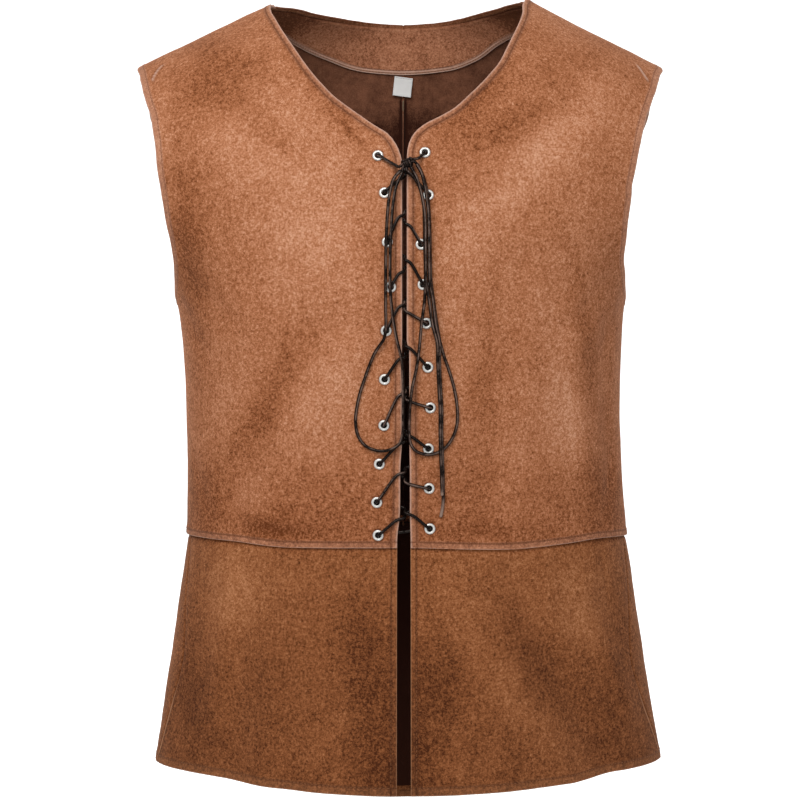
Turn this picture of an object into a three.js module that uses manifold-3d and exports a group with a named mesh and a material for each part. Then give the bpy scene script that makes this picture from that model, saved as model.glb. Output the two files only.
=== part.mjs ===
// Laced sleeveless vest with a hip-length skirt, in suede cloth: two bodice
// fronts, two bodice backs, two front skirts and a back skirt, a back neck
// facing, a blank label, twenty eyelets and one long round lace tied in a bow.
//
// Millimetres. +Z is up, -Y is the front, +X is the wearer's left.
// The origin is on the shoulder line, midway between the two neck points.
//
// Every piece of cloth is a wall that follows one hollow form. A point of the
// form is given by an angle round the body (0 at the centre front, +-90 at the
// side and along the shoulder seam, 180 at the centre back) and by its height.

import * as THREE from 'three';
import { mergeVertices } from 'three/addons/utils/BufferGeometryUtils.js';
import Module from 'manifold-3d';

// ---------------------------------------------------------------- sizes
const WALL = 1.8;            // thickness of the suede cloth
const SEAM_GAP = 0.3;        // space between neighbouring pieces
const FACING_WALL = 1.0;
const FACING_CLEAR = 0.8;    // space between the facing and the cloth behind it
const SKIRT_INSET = 0.9;     // how far the skirt's top edge lies behind the bodice's
const WAIST_Z = -493;
const HEM_Z = -698;
const TAIL_Z = -560;         // below this the back skirt lengthens
const TAIL_DROP = 73;        // more length at the centre back of the hem
const TIP_Z = -62;           // shoulder tip, where the armhole starts
const UNDERARM_Z = -275;
const NECK_POINT = { right: -2.4, left: 2.0 };   // height of each neck point

const EYELET = { bore: 2.55, barrel: 3.1, flange: 4.7, back: 4.1, above: 1.1, below: 3.2, sides: 12 };
const HOLE_RADIUS = EYELET.barrel + SEAM_GAP + 0.05;

const CORD_RADIUS = 1.35;    // round waxed lace, 2.7 across
const CORD_SIDES = 8;

// ------------------------------------------------------------ tables
function table(columns, rows) {
  return rows.map((row) => Object.fromEntries(columns.map((c, i) => [c, row[i]])));
}

// Horizontal sections of the form: half width on the wearer's right and left,
// depth to the centre front and to the centre back, and how square the corner is.
const SECTIONS = table(['z', 'right', 'left', 'front', 'back', 'square'], [
  [8, 86, 92, 54, 84, -0.08],
  [4, 99, 104.5, 57, 87, -0.08],
  [0, 112.5, 117.5, 60, 90, -0.08],
  [-6, 128, 129.5, 62.5, 93, -0.07],
  [-14, 146, 144.5, 66, 97, -0.06],
  [-24, 167, 162.5, 70, 101, -0.05],
  [-34, 187.5, 182, 74.5, 105, -0.04],
  [-44, 207.5, 202.5, 79, 109, -0.03],
  [-54, 229, 222.5, 83.5, 113, -0.02],
  [-64, 248.5, 240.5, 88, 116.5, -0.015],
  [-74, 263.5, 255, 92, 119.5, -0.01],
  [-84, 274.5, 266, 96, 122, 0],
  [-98, 285, 275.5, 101, 125, 0.01],
  [-115, 289, 279.5, 107, 128, 0.015],
  [-135, 288, 278, 113, 130.5, 0.02],
  [-160, 280, 270, 119, 132, 0.02],
  [-185, 266, 256, 123, 132, 0.02],
  [-210, 248, 239.5, 126, 130.5, 0.02],
  [-230, 233.5, 226, 127.6, 128.5, 0.02],
  [-250, 220.5, 214, 128.2, 126, 0.02],
  [-270, 211.5, 206, 128, 123.5, 0.02],
  [-292, 206, 202.5, 127, 120.5, 0.018],
  [-320, 203, 200.8, 125, 116, 0.015],
  [-370, 200.5, 199.5, 121, 108.5, 0.01],
  [-430, 199.5, 201.5, 116, 102, 0.005],
  [-490, 200, 206, 114, 100, 0],
  [-560, 208.5, 215.5, 121, 107, -0.04],
  [-640, 220.5, 228, 130.5, 118, -0.08],
  [-700, 229, 238, 137.5, 126, -0.09],
  [-765, 236, 246, 143, 132, -0.09],
]);

// Inner edge of the two fronts, from the neck point down the neckline and
// then down the centre front opening: distance from the middle plane.
const FRONT_EDGE = table(['z', 'right', 'left'], [
  [2, 122, 112],
  [-4, 121.5, 110.3],
  [-10, 121.2, 107.9],
  [-18, 119.2, 107.2],
  [-27, 114.6, 104.6],
  [-38, 108.9, 100.2],
  [-50, 101.9, 94.8],
  [-62, 94.4, 89.3],
  [-75, 86.2, 82.8],
  [-88, 76.9, 73.0],
  [-98, 68.6, 64.2],
  [-108, 59.3, 54.4],
  [-118, 47.0, 43.9],
  [-126, 36.4, 31.3],
  [-134, 25.3, 17.0],
  [-142, 13.6, 8.6],
  [-150, 7.4, 4.6],
  [-158, 3.6, 2.9],
  [-168, 1.4, 2.5],
  [-318, 1.4, 2.5],
  [-327, 1.5, 4.5],
  [-402, 1.5, 4.7],
  [-425, 2.9, 5.1],
  [-462, 3.2, 5.2],
  [-488, 5.6, 5.8],
  [-700, 5.9, 5.9],
]);

// Armhole edge: angle from the centre front on each front, and from the
// centre back on both backs.
const ARMHOLE = table(['z', 'right', 'left', 'back'], [
  [-62, 90, 90, 90],
  [-63.3, 77.5, 80.6, 82],
  [-66, 72.2, 74.2, 76.5],
  [-70, 68.0, 69.4, 72.5],
  [-75, 63.8, 64.4, 68.5],
  [-82, 60.1, 59.9, 64.5],
  [-93, 55.2, 54.9, 60],
  [-103, 51.9, 51.6, 57],
  [-122, 48.9, 48.4, 52.6],
  [-141, 48.1, 47.2, 52.2],
  [-158.5, 49.0, 47.5, 53],
  [-176, 50.4, 48.6, 55.2],
  [-193, 52.3, 50.9, 57.8],
  [-210, 55.6, 53.7, 61.5],
  [-227, 59.3, 57.6, 65.5],
  [-243.5, 64.3, 62.4, 70.5],
  [-256, 69.5, 68.5, 75],
  [-266, 75.5, 75.0, 79.5],
  [-272, 81.5, 81.0, 84.5],
  [-275, 90, 90, 90],
]);

// How far round the columns of a bodice panel are spread at each height; only
// the last few of them follow the quick turns of the armhole edge.
const SPREAD = table(['z', 'front', 'back'], [
  [10, 90, 90],
  [-30, 89, 89],
  [-48, 84, 85],
  [-62, 76, 78],
  [-75, 67, 71],
  [-100, 57, 62],
  [-141, 53, 58],
  [-185, 55.5, 61],
  [-230, 64, 68],
  [-262, 74, 77],
  [-300, 84, 85],
  [-350, 89, 89],
  [-410, 90, 90],
]);

// Top edge of the back neck, and the lower edge of the facing inside it.
// The angle runs from the wearer's left side seam (90) round to the right (270).
const BACK_NECK = table(['angle', 'top', 'facing'], [
  [90, 2.0, -11],
  [110, 4.6, -11.5],
  [127, 4.4, -14.8],
  [140, 3.7, -20],
  [157, 3.0, -33],
  [166, 2.8, -39],
  [180, 2.6, -42.2],
  [191, 2.8, -40.2],
  [206, 2.8, -29.3],
  [225, 2.4, -15.8],
  [237, 2.2, -12],
  [250, 1.9, -11],
  [270, -2.4, -13.5],
]);

// Side seam of the skirt, which swings a little to the front on its way down.
const SKIRT_SEAM = table(['z', 'right', 'left'], [
  [-493, 78, 78],
  [-540, 74.5, 74.5],
  [-600, 71.5, 70.8],
  [-640, 75.5, 75.5],
  [-675, 79.5, 81.5],
  [-698, 83, 85.5],
]);

// Dip of the waist seam and of the hem round the body.
const DIP = table(['angle', 'waist', 'hem'], [
  [-180, 1, -0.5],
  [-90, 3, 0],
  [-50, 2, 1.5],
  [-30, -1.5, -0.5],
  [0, -0.5, 0],
  [25, -2.8, -0.5],
  [42, 0, 0],
  [58, 3, 3],
  [90, 1.5, 2],
  [180, 1, -0.5],
]);

// Soft ridges (+) and troughs (-) of the cloth, each along a line from one
// point of the form to another.
const FOLDS = table(['angle1', 'z1', 'angle2', 'z2', 'width', 'height'], [
  [-21, -310, -49, -455, 17, -2.4],
  [-14, -330, -37, -450, 16, 1.6],
  [-52, -200, -40, -300, 24, 1.5],
  [-36, -85, -24, -150, 16, -1.8],
  [34, -100, 24, -150, 16, -1.6],
  [45, -290, 52, -420, 15, 1.8],
  [62, -300, 66, -440, 15, -2.0],
  [26, -260, 22, -430, 18, -1.5],
  [-50, -530, -54, -640, 20, 2.6],
  [-12, -540, -16, -640, 18, -2.6],
  [-16, -640, -27, -698, 16, -2.4],
  [-34, -600, -36, -698, 20, 2.0],
  [14, -530, 42, -698, 15, 2.6],
  [26, -520, 56, -690, 15, -2.6],
  [50, -540, 66, -640, 16, 2.4],
  [10, -590, 9, -650, 15, -2.2],
  [128, -540, 132, -720, 20, 2.8],
  [150, -560, 156, -750, 18, -2.6],
  [176, -530, 178, -760, 22, 2.4],
  [203, -550, 198, -750, 18, -2.6],
  [226, -540, 222, -720, 20, 2.8],
  [250, -560, 246, -698, 18, -2.2],
  [112, -550, 110, -698, 18, -2.2],
  [140, -330, 128, -460, 20, -2.2],
  [218, -320, 234, -450, 20, -2.2],
  [160, -380, 168, -480, 18, 1.6],
  [195, -400, 188, -480, 18, 1.4],
  [146, -120, 158, -220, 24, 1.6],
  [212, -120, 202, -220, 24, 1.6],
]);

// Eyelet centres on the two fronts: distance from the middle plane and height.
const EYELETS = table(['row', 'right', 'rightZ', 'left', 'leftZ'], [
  [1, 21.9, -161.2, 17.9, -158.5],
  [2, 16.2, -193.4, 20.6, -195.3],
  [3, 13.8, -235.2, 14.5, -237.2],
  [4, 11.0, -273.1, 16.1, -271.0],
  [5, 14.8, -309.6, 19.0, -303.4],
  [6, 16.2, -350.5, 20.3, -340.2],
  [7, 16.8, -389.3, 22.4, -374.4],
  [8, 20.7, -422.1, 20.9, -409.1],
  [9, 22.9, -454.7, 21.5, -442.8],
  [10, 21.8, -482.7, 22.1, -477.1],
]);

const KNOT = { x: 3.4, z: -170.5, out: 8.2, halfWidth: 7.0, halfHeight: 3.7, halfDepth: 3.4, turn: 24 };

// Routes of the bow: across, height, and how far the middle of the cord lies
// in front of the cloth. Each starts and ends beside the knot.
const ROUTE = ['x', 'z', 'out'];
const LOOP_RIGHT = table(ROUTE, [
  [-2.6, -177, 8.4], [-6.2, -180.6, 8.2], [-9, -185, 7.8], [-11.2, -193, 7.2], [-12.9, -205, 6.6],
  [-14, -220, 6.2], [-14.8, -242.7, 6], [-15, -267.7, 6], [-15, -290, 6], [-14.9, -306, 6],
  [-16.4, -316, 5.2], [-20.6, -322.6, 3.6], [-24.2, -328, 2.4], [-29.3, -340, 1.9],
  [-33.2, -351, 1.9], [-36.8, -362, 1.9], [-40.2, -378.9, 1.9], [-40.4, -388.7, 1.9],
  [-38.2, -398.4, 1.9], [-32.1, -406.4, 1.9], [-21.6, -410.4, 3.2], [-11.3, -409.2, 5.6],
  [-4, -404.6, 5.6], [-1, -396, 5.2], [-0.5, -380, 5], [-0.6, -352, 5.2], [-1.8, -334, 5.6],
  [-5.9, -316, 6], [-8.9, -299, 6.2], [-10.9, -278, 6.4], [-11.3, -250, 6.8], [-10.4, -226, 7.2],
  [-9, -206, 7.8], [-6.2, -190, 8.4], [-1.2, -178.6, 8.8],
]);
const LOOP_LEFT = table(ROUTE, [
  [11.4, -171.4, 8], [14, -176.6, 7.8], [17.1, -184.6, 7.2], [19.4, -195, 6.4], [20.8, -209.3, 6],
  [21.6, -230, 6], [21.8, -250, 6], [22.4, -268, 6], [24.6, -285, 6], [27.2, -303.6, 5.6],
  [30.4, -320, 4], [33.9, -331.7, 2.6], [37.1, -340.6, 2], [42.3, -358, 1.9], [45, -376.1, 1.9],
  [44.6, -388.7, 1.9], [41.5, -398.4, 1.9], [36, -406.9, 1.9], [28.4, -412.2, 1.9],
  [19.3, -413.6, 2.8], [10.2, -410.4, 4.8], [5.9, -404.6, 5], [4.5, -396, 5], [4.6, -381.7, 5],
  [5.6, -367.8, 5.2], [7.2, -356, 5.4], [10.6, -340, 5.8], [12.6, -325, 6], [14.6, -303.6, 6.2],
  [17, -284.4, 6.4], [17.7, -266, 6.4], [17.2, -242.7, 6.6], [16.9, -221.9, 6.8],
  [16.2, -205.2, 7.2], [13.4, -192, 7.8], [7.6, -181.6, 8.4], [3.4, -177.6, 8.6],
]);
const END_1 = table(ROUTE, [
  [10.6, -172.6, 11], [14.8, -180.5, 10.6], [18.2, -196, 9.8], [20.2, -215, 9.4],
  [20.5, -242, 9.4], [20.9, -268, 9.4], [23.6, -285, 9.4], [26, -304, 8.6], [29.4, -320, 7],
  [29.6, -334, 5], [30.7, -356, 3.2], [31.9, -376, 2.8], [31.8, -392, 3.6], [31.9, -404, 5.2],
  [32.2, -414, 5.2], [32.8, -425, 3.8], [33.2, -437, 2.2], [33.3, -448, 1.9], [32.8, -458, 1.9],
  [31.2, -466.5, 1.9],
]);
const END_2 = table(ROUTE, [
  [6, -175.2, 11.8], [10.4, -183.5, 11.2], [14.6, -198, 10.4], [17.2, -215, 10], [17.6, -242, 10],
  [18, -268, 10], [20.6, -285, 10.2], [23.2, -304, 9.6], [27.2, -320, 8.8], [27.7, -334, 7.2],
  [28.9, -356, 5.5], [30.1, -376, 5.1], [30, -392, 5.9], [30.1, -404, 7.4], [30.4, -414, 7.4],
  [31, -425, 6.2], [31.6, -437, 4.8], [32, -448, 4.6],
]);

// --------------------------------------------------------- interpolation
// Smooth curve through a table's rows that never overshoots them.
function smooth(rows, x, y) {
  const r = [...rows].sort((a, b) => a[x] - b[x]);
  const n = r.length;
  const h = [], d = [], m = new Array(n).fill(0);
  for (let i = 0; i < n - 1; i++) {
    h.push(r[i + 1][x] - r[i][x]);
    d.push((r[i + 1][y] - r[i][y]) / h[i]);
  }
  m[0] = d[0];
  m[n - 1] = d[n - 2];
  for (let i = 1; i < n - 1; i++) {
    if (d[i - 1] * d[i] > 0) {
      const a = 2 * h[i] + h[i - 1];
      const b = h[i] + 2 * h[i - 1];
      m[i] = (a + b) / (a / d[i - 1] + b / d[i]);
    }
  }
  return (v) => {
    if (v <= r[0][x]) return r[0][y] + m[0] * (v - r[0][x]);
    if (v >= r[n - 1][x]) return r[n - 1][y] + m[n - 1] * (v - r[n - 1][x]);
    let i = 0;
    while (v > r[i + 1][x]) i++;
    const t = (v - r[i][x]) / h[i];
    const p = m[i] * h[i], q = m[i + 1] * h[i], a = r[i][y], b = r[i + 1][y];
    return a + t * (p + t * (3 * (b - a) - 2 * p - q + t * (2 * (a - b) + p + q)));
  };
}

const section = {
  right: smooth(SECTIONS, 'z', 'right'), left: smooth(SECTIONS, 'z', 'left'),
  front: smooth(SECTIONS, 'z', 'front'), back: smooth(SECTIONS, 'z', 'back'),
  square: smooth(SECTIONS, 'z', 'square'),
};
const frontEdge = { right: smooth(FRONT_EDGE, 'z', 'right'), left: smooth(FRONT_EDGE, 'z', 'left') };
const armhole = {
  right: smooth(ARMHOLE, 'z', 'right'), left: smooth(ARMHOLE, 'z', 'left'), back: smooth(ARMHOLE, 'z', 'back'),
};
const spread = { front: smooth(SPREAD, 'z', 'front'), back: smooth(SPREAD, 'z', 'back') };
const skirtSeam = { right: smooth(SKIRT_SEAM, 'z', 'right'), left: smooth(SKIRT_SEAM, 'z', 'left') };
const neckTop = smooth(BACK_NECK, 'angle', 'top');
const facingLow = smooth(BACK_NECK, 'angle', 'facing');
const waistDip = smooth(DIP, 'angle', 'waist');
const hemDip = smooth(DIP, 'angle', 'hem');

const rad = Math.PI / 180;
const turn = (a) => (a > 180 ? a - 360 : a);       // 90..270 to -180..180
const bump = (v) => (Math.abs(v) < 1 ? (1 - v * v) ** 2 : 0);

// ------------------------------------------------------------- the form
function foldHeight(angle, z) {
  let sum = 0;
  for (const f of FOLDS) {
    for (const shift of [-360, 0, 360]) {
      const ax = (f.angle1 + shift) * 3.2, bx = (f.angle2 + shift) * 3.2;
      const dx = bx - ax, dz = f.z2 - f.z1;
      const t = Math.min(1, Math.max(0, ((angle * 3.2 - ax) * dx + (z - f.z1) * dz) / (dx * dx + dz * dz)));
      const d2 = (angle * 3.2 - ax - t * dx) ** 2 + (z - f.z1 - t * dz) ** 2;
      sum += f.height * Math.exp(-d2 / (f.width * f.width));
    }
  }
  return sum;
}

function bare(angle, z) {
  const s = Math.sin(angle * rad), c = Math.cos(angle * rad);
  const q = 1 + section.square(z) * Math.sin(2 * angle * rad) ** 2;
  const width = s > 0 ? section.left(z) : section.right(z);
  const depth = c > 0 ? section.front(z) : section.back(z);
  return new THREE.Vector3(width * s * q, -depth * c * q, z);
}

function outward(angle, z) {
  const e = 0.5;
  const across = bare(angle + e, z).sub(bare(angle - e, z));
  const up = bare(angle, z + e).sub(bare(angle, z - e));
  return across.cross(up).normalize();
}

// A point of the form, moved out by its folds and by `out`.
function form(angle, z, out = 0) {
  return bare(angle, z).addScaledVector(outward(angle, z), foldHeight(angle, z) + out);
}

// Real height of a nominal height: the waist seam and the hem dip a little.
function dipped(angle, z) {
  const tail = TAIL_DROP * Math.max(0, -Math.cos(angle * rad)) ** 2;
  return z + waistDip(turn(angle)) * bump((z - WAIST_Z) / 110) + hemDip(turn(angle)) * bump((z - HEM_Z) / 90)
    - tail * Math.min(1, Math.max(0, (TAIL_Z - z) / (TAIL_Z - HEM_Z)));
}

// Angle of the point of the front at a distance x from the middle plane.
function angleAt(x, z) {
  const width = x > 0 ? section.left(z) : section.right(z);
  const want = Math.min(Math.abs(x) / width, 1), k = section.square(z);
  let lo = 0, hi = 90;
  for (let i = 0; i < 40; i++) {
    const m = (lo + hi) / 2;
    if (Math.sin(m * rad) * (1 + k * Math.sin(2 * m * rad) ** 2) < want) lo = m; else hi = m;
  }
  return Math.sign(x) * lo;
}
const onFront = (x, z, out = 0) => form(angleAt(x, z), z, out);

// ----------------------------------------------------------- mesh makers
const suede = (name, color) => new THREE.MeshStandardMaterial({ name, color, roughness: 0.92, metalness: 0 });
const SUEDE_BODICE = suede('suede_bodice', 0xae7550);
const SUEDE_SKIRT = suede('suede_skirt', 0x8d5838);
const SUEDE_FACING = suede('suede_facing', 0x8b5940);
const LABEL_CLOTH = suede('label_cloth', 0xeaebe9);
const METAL = new THREE.MeshStandardMaterial({ name: 'eyelet_metal', color: 0xd9dadb, roughness: 0.28, metalness: 1 });
const LACE = new THREE.MeshStandardMaterial({ name: 'waxed_lace', color: 0x2a211d, roughness: 0.5, metalness: 0 });

const group = new THREE.Group();
function add(name, geometry, material) {
  const mesh = new THREE.Mesh(geometry, material);
  mesh.name = name;
  group.add(mesh);
  return mesh;
}

// A wall between two faces of a grid. at(i, j, face) gives a point, with
// face 0 on the outside and 1 on the inside.
function wall(rows, columns, at) {
  const position = [], index = [];
  const id = (i, j, face) => (i * columns + j) * 2 + face;
  for (let i = 0; i < rows; i++) {
    for (let j = 0; j < columns; j++) {
      for (const face of [0, 1]) position.push(...at(i, j, face).toArray());
    }
  }
  const quad = (a, b, c, d) => index.push(a, b, c, a, c, d);
  for (let i = 0; i < rows - 1; i++) {
    for (let j = 0; j < columns - 1; j++) {
      quad(id(i, j, 0), id(i + 1, j, 0), id(i + 1, j + 1, 0), id(i, j + 1, 0));
      quad(id(i, j, 1), id(i, j + 1, 1), id(i + 1, j + 1, 1), id(i + 1, j, 1));
    }
  }
  for (let j = 0; j < columns - 1; j++) {
    quad(id(0, j, 0), id(0, j + 1, 0), id(0, j + 1, 1), id(0, j, 1));
    quad(id(rows - 1, j, 0), id(rows - 1, j, 1), id(rows - 1, j + 1, 1), id(rows - 1, j + 1, 0));
  }
  for (let i = 0; i < rows - 1; i++) {
    quad(id(i, 0, 0), id(i, 0, 1), id(i + 1, 0, 1), id(i + 1, 0, 0));
    quad(id(i, columns - 1, 0), id(i + 1, columns - 1, 0), id(i + 1, columns - 1, 1), id(i, columns - 1, 1));
  }
  const geometry = new THREE.BufferGeometry();
  geometry.setAttribute('position', new THREE.Float32BufferAttribute(position, 3));
  geometry.setIndex(index);
  return facingOut(geometry);
}

// Turns a closed mesh so that its faces point out.
function facingOut(geometry) {
  const p = geometry.getAttribute('position'), ix = geometry.getIndex().array;
  const a = new THREE.Vector3(), b = new THREE.Vector3(), c = new THREE.Vector3();
  let volume = 0;
  for (let i = 0; i < ix.length; i += 3) {
    a.fromBufferAttribute(p, ix[i]); b.fromBufferAttribute(p, ix[i + 1]); c.fromBufferAttribute(p, ix[i + 2]);
    volume += a.dot(b.cross(c));
  }
  if (volume < 0) {
    for (let i = 0; i < ix.length; i += 3) [ix[i + 1], ix[i + 2]] = [ix[i + 2], ix[i + 1]];
  }
  return geometry;
}

const mix = (a, b, t) => a + (b - a) * t;
const half = SEAM_GAP / 2;
// Angle that covers a distance along the form at a height.
const arc = (angle, z, distance) => distance / (bare(angle + 0.5, z).distanceTo(bare(angle - 0.5, z)));

// ------------------------------------------------------------ the panels
const BODICE_ROWS = [-3.4, -9, -16, -25, -36, -48, TIP_Z, -64, -67.5, -72.5, -80, -90, -104, -121, -141, -162,
  -185, -208, -230, -248, -262, -270, UNDERARM_Z, -300, -335, -372, -410, -450, WAIST_Z + half];
const FRONT_COLUMNS = 11;
const BACK_COLUMNS = 11;
const SKIRT_ROWS = [WAIST_Z - half, -512, -535, -565, -595, -625, -655, -680, HEM_Z];

function bodiceFront(side) {
  const sign = side === 'left' ? 1 : -1;
  const rows = [NECK_POINT[side], ...BODICE_ROWS];
  const inner = (z) => Math.min(Math.abs(angleAt(sign * frontEdge[side](z), z)), 86);
  const outer = (z) => {
    const a = z >= TIP_Z || z <= UNDERARM_Z ? 90 : armhole[side](z);
    return a - arc(sign * a, z, half);
  };
  return wall(rows.length, FRONT_COLUMNS, (i, j, face) => {
    const z = rows[i], t = j / (FRONT_COLUMNS - 1);
    const angle = sign * (mix(inner(z), spread.front(z), t) + (outer(z) - spread.front(z)) * t ** 6);
    return form(angle, dipped(angle, z), face ? -WALL : 0);
  });
}

function bodiceBack(side) {
  const rows = [NECK_POINT[side], ...BODICE_ROWS];
  return wall(rows.length, BACK_COLUMNS, (i, j, face) => {
    const z = rows[i];
    const open = z >= TIP_Z || z <= UNDERARM_Z ? 90 : armhole.back(z);
    const from = 180 - open + arc(90, z, half), even = 180 - spread.back(z);
    const to = 180 - arc(180, z, half), u = 1 - j / (BACK_COLUMNS - 1);
    const t = mix(to, even, u) + (from - even) * u ** 6;
    const angle = side === 'left' ? t : 360 - t;
    return form(angle, i === 0 ? neckTop(angle) : dipped(angle, z), face ? -WALL : 0);
  });
}

const skirtOut = (z) => -SKIRT_INSET * bump((z - WAIST_Z) / 30);

function skirtFront(side) {
  const sign = side === 'left' ? 1 : -1;
  return wall(SKIRT_ROWS.length, FRONT_COLUMNS, (i, j, face) => {
    const z = SKIRT_ROWS[i];
    const inner = Math.abs(angleAt(sign * frontEdge[side](z), z));
    const outer = skirtSeam[side](z) - arc(sign * skirtSeam[side](z), z, half);
    const angle = sign * mix(inner, outer, j / (FRONT_COLUMNS - 1));
    return form(angle, dipped(angle, z), skirtOut(z) - (face ? WALL : 0));
  });
}

function skirtBack() {
  const columns = 25;
  return wall(SKIRT_ROWS.length, columns, (i, j, face) => {
    const z = SKIRT_ROWS[i];
    const from = skirtSeam.left(z) + arc(90, z, half);
    const to = 360 - skirtSeam.right(z) - arc(90, z, half);
    const angle = mix(from, to, j / (columns - 1));
    return form(angle, dipped(angle, z), skirtOut(z) - (face ? WALL : 0));
  });
}

function neckFacing() {
  const rows = [0, 0.2, 0.45, 0.72, 1], columns = 2 * BACK_COLUMNS + 1;
  return wall(rows.length, columns, (i, j, face) => {
    const angle = mix(92, 268, j / (columns - 1));
    const z = mix(neckTop(angle) - 1.5, facingLow(angle), rows[i]);
    return form(angle, z, -WALL - FACING_CLEAR - (face ? FACING_WALL : 0));
  });
}

function backLabel() {
  const width = 18.5, height = 17.6, tilt = 7 * rad, n = 3;
  return wall(n, n, (i, j, face) => {
    const a = (j / (n - 1) - 0.5) * width, b = -(i / (n - 1)) * height;
    const x = 0.6 + a * Math.cos(tilt) + b * Math.sin(tilt);
    const z = -44.6 + b * Math.cos(tilt) - a * Math.sin(tilt);
    return form(180 - angleAt(x, z), z, -WALL - FACING_CLEAR - (face ? FACING_WALL : 0));
  });
}

// ------------------------------------------------- eyelets and their holes
function alongNormal(geometry, point, normal) {
  const turned = new THREE.Quaternion().setFromUnitVectors(new THREE.Vector3(0, 1, 0), normal);
  geometry.applyQuaternion(turned);
  geometry.translate(point.x, point.y, point.z);
  return geometry;
}

function eyeletRing() {
  const e = EYELET;
  const profile = [
    [e.bore, -e.below], [e.back, -e.below], [e.back, -e.below + 0.9], [e.barrel, -e.below + 0.9],
    [e.barrel, SEAM_GAP], [e.flange, SEAM_GAP], [e.flange - 0.6, e.above], [e.bore, e.above], [e.bore, -e.below],
  ].map(([r, h]) => new THREE.Vector2(r, h));
  const geometry = new THREE.LatheGeometry(profile, e.sides);
  geometry.deleteAttribute('normal');
  geometry.deleteAttribute('uv');
  return facingOut(mergeVertices(geometry, 1e-4));
}

const wasm = await Module();
wasm.setup();
function solid(geometry) {
  const g = geometry.clone();
  g.deleteAttribute('normal');
  g.deleteAttribute('uv');
  const m = mergeVertices(g, 1e-4);
  return new wasm.Manifold(new wasm.Mesh({
    numProp: 3,
    vertProperties: new Float32Array(m.getAttribute('position').array),
    triVerts: new Uint32Array(m.getIndex().array),
  }));
}
function drilled(geometry, side) {
  let body = solid(geometry);
  for (const e of EYELETS) {
    const x = side === 'left' ? e.left : -e.right, z = side === 'left' ? e.leftZ : e.rightZ;
    const drill = new THREE.CylinderGeometry(HOLE_RADIUS, HOLE_RADIUS, 9, EYELET.sides);
    alongNormal(drill, onFront(x, z, -WALL / 2), outward(angleAt(x, z), z));
    body = body.subtract(solid(drill));
  }
  const out = body.getMesh();
  const result = new THREE.BufferGeometry();
  result.setAttribute('position', new THREE.BufferAttribute(new Float32Array(out.vertProperties), 3));
  result.setIndex(new THREE.BufferAttribute(new Uint32Array(out.triVerts), 1));
  return result;
}

add('front_bodice_right', drilled(bodiceFront('right'), 'right'), SUEDE_BODICE);
add('front_bodice_left', drilled(bodiceFront('left'), 'left'), SUEDE_BODICE.clone());
add('back_bodice_right', bodiceBack('right'), SUEDE_BODICE.clone());
add('back_bodice_left', bodiceBack('left'), SUEDE_BODICE.clone());
add('front_skirt_right', skirtFront('right'), SUEDE_SKIRT);
add('front_skirt_left', skirtFront('left'), SUEDE_SKIRT.clone());
add('back_skirt', skirtBack(), SUEDE_SKIRT.clone());
add('back_neck_facing', neckFacing(), SUEDE_FACING);
add('back_label', backLabel(), LABEL_CLOTH);

for (const e of EYELETS) {
  for (const side of ['right', 'left']) {
    const x = side === 'left' ? e.left : -e.right, z = side === 'left' ? e.leftZ : e.rightZ;
    const ring = alongNormal(eyeletRing(), onFront(x, z), outward(angleAt(x, z), z));
    add(`eyelet_${side}_${String(e.row).padStart(2, '0')}`, ring, METAL.clone());
  }
}

// ------------------------------------------------------------- the lace
// A smooth line through its own points, one step of the tube for each.
class Route extends THREE.CatmullRomCurve3 {
  constructor(points) { super(points, false, 'centripetal'); }
  getUtoTmapping(u) { return u; }
}
function cord(name, points) {
  const r = CORD_RADIUS, ring = new THREE.Shape();
  for (let i = 0; i < CORD_SIDES; i++) {
    const a = ((i + 0.5) / CORD_SIDES) * 2 * Math.PI;
    if (i) ring.lineTo(r * Math.cos(a), r * Math.sin(a)); else ring.moveTo(r * Math.cos(a), r * Math.sin(a));
  }
  const g = new THREE.ExtrudeGeometry(ring, {
    steps: points.length - 1, extrudePath: new Route(points), bevelEnabled: false,
  });
  g.deleteAttribute('normal');
  g.deleteAttribute('uv');
  return add(name, facingOut(mergeVertices(g, 1e-4)), LACE.clone());
}

const eyeletAt = (row, side) => {
  const e = EYELETS[row - 1];
  return side === 'left' ? new THREE.Vector2(e.left, e.leftZ) : new THREE.Vector2(-e.right, e.rightZ);
};
const other = (side) => (side === 'left' ? 'right' : 'left');
const opening = (z) => {
  const l = frontEdge.left(z), r = -frontEdge.right(z);
  return { middle: (l + r) / 2, half: (l - r) / 2 };
};

// Height of the cord's middle over the outer face of the cloth, going out of
// an eyelet and away from it, and the mirror of that behind the cloth.
const COMING_OUT = table(['along', 'out'], [[0.3, 1.1], [2.0, 3.0], [6.0, 2.8]]);
const GOING_IN = table(['along', 'out'], [[6.0, -4.8], [2.0, -5.0], [0.3, -3.2]]);

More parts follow.
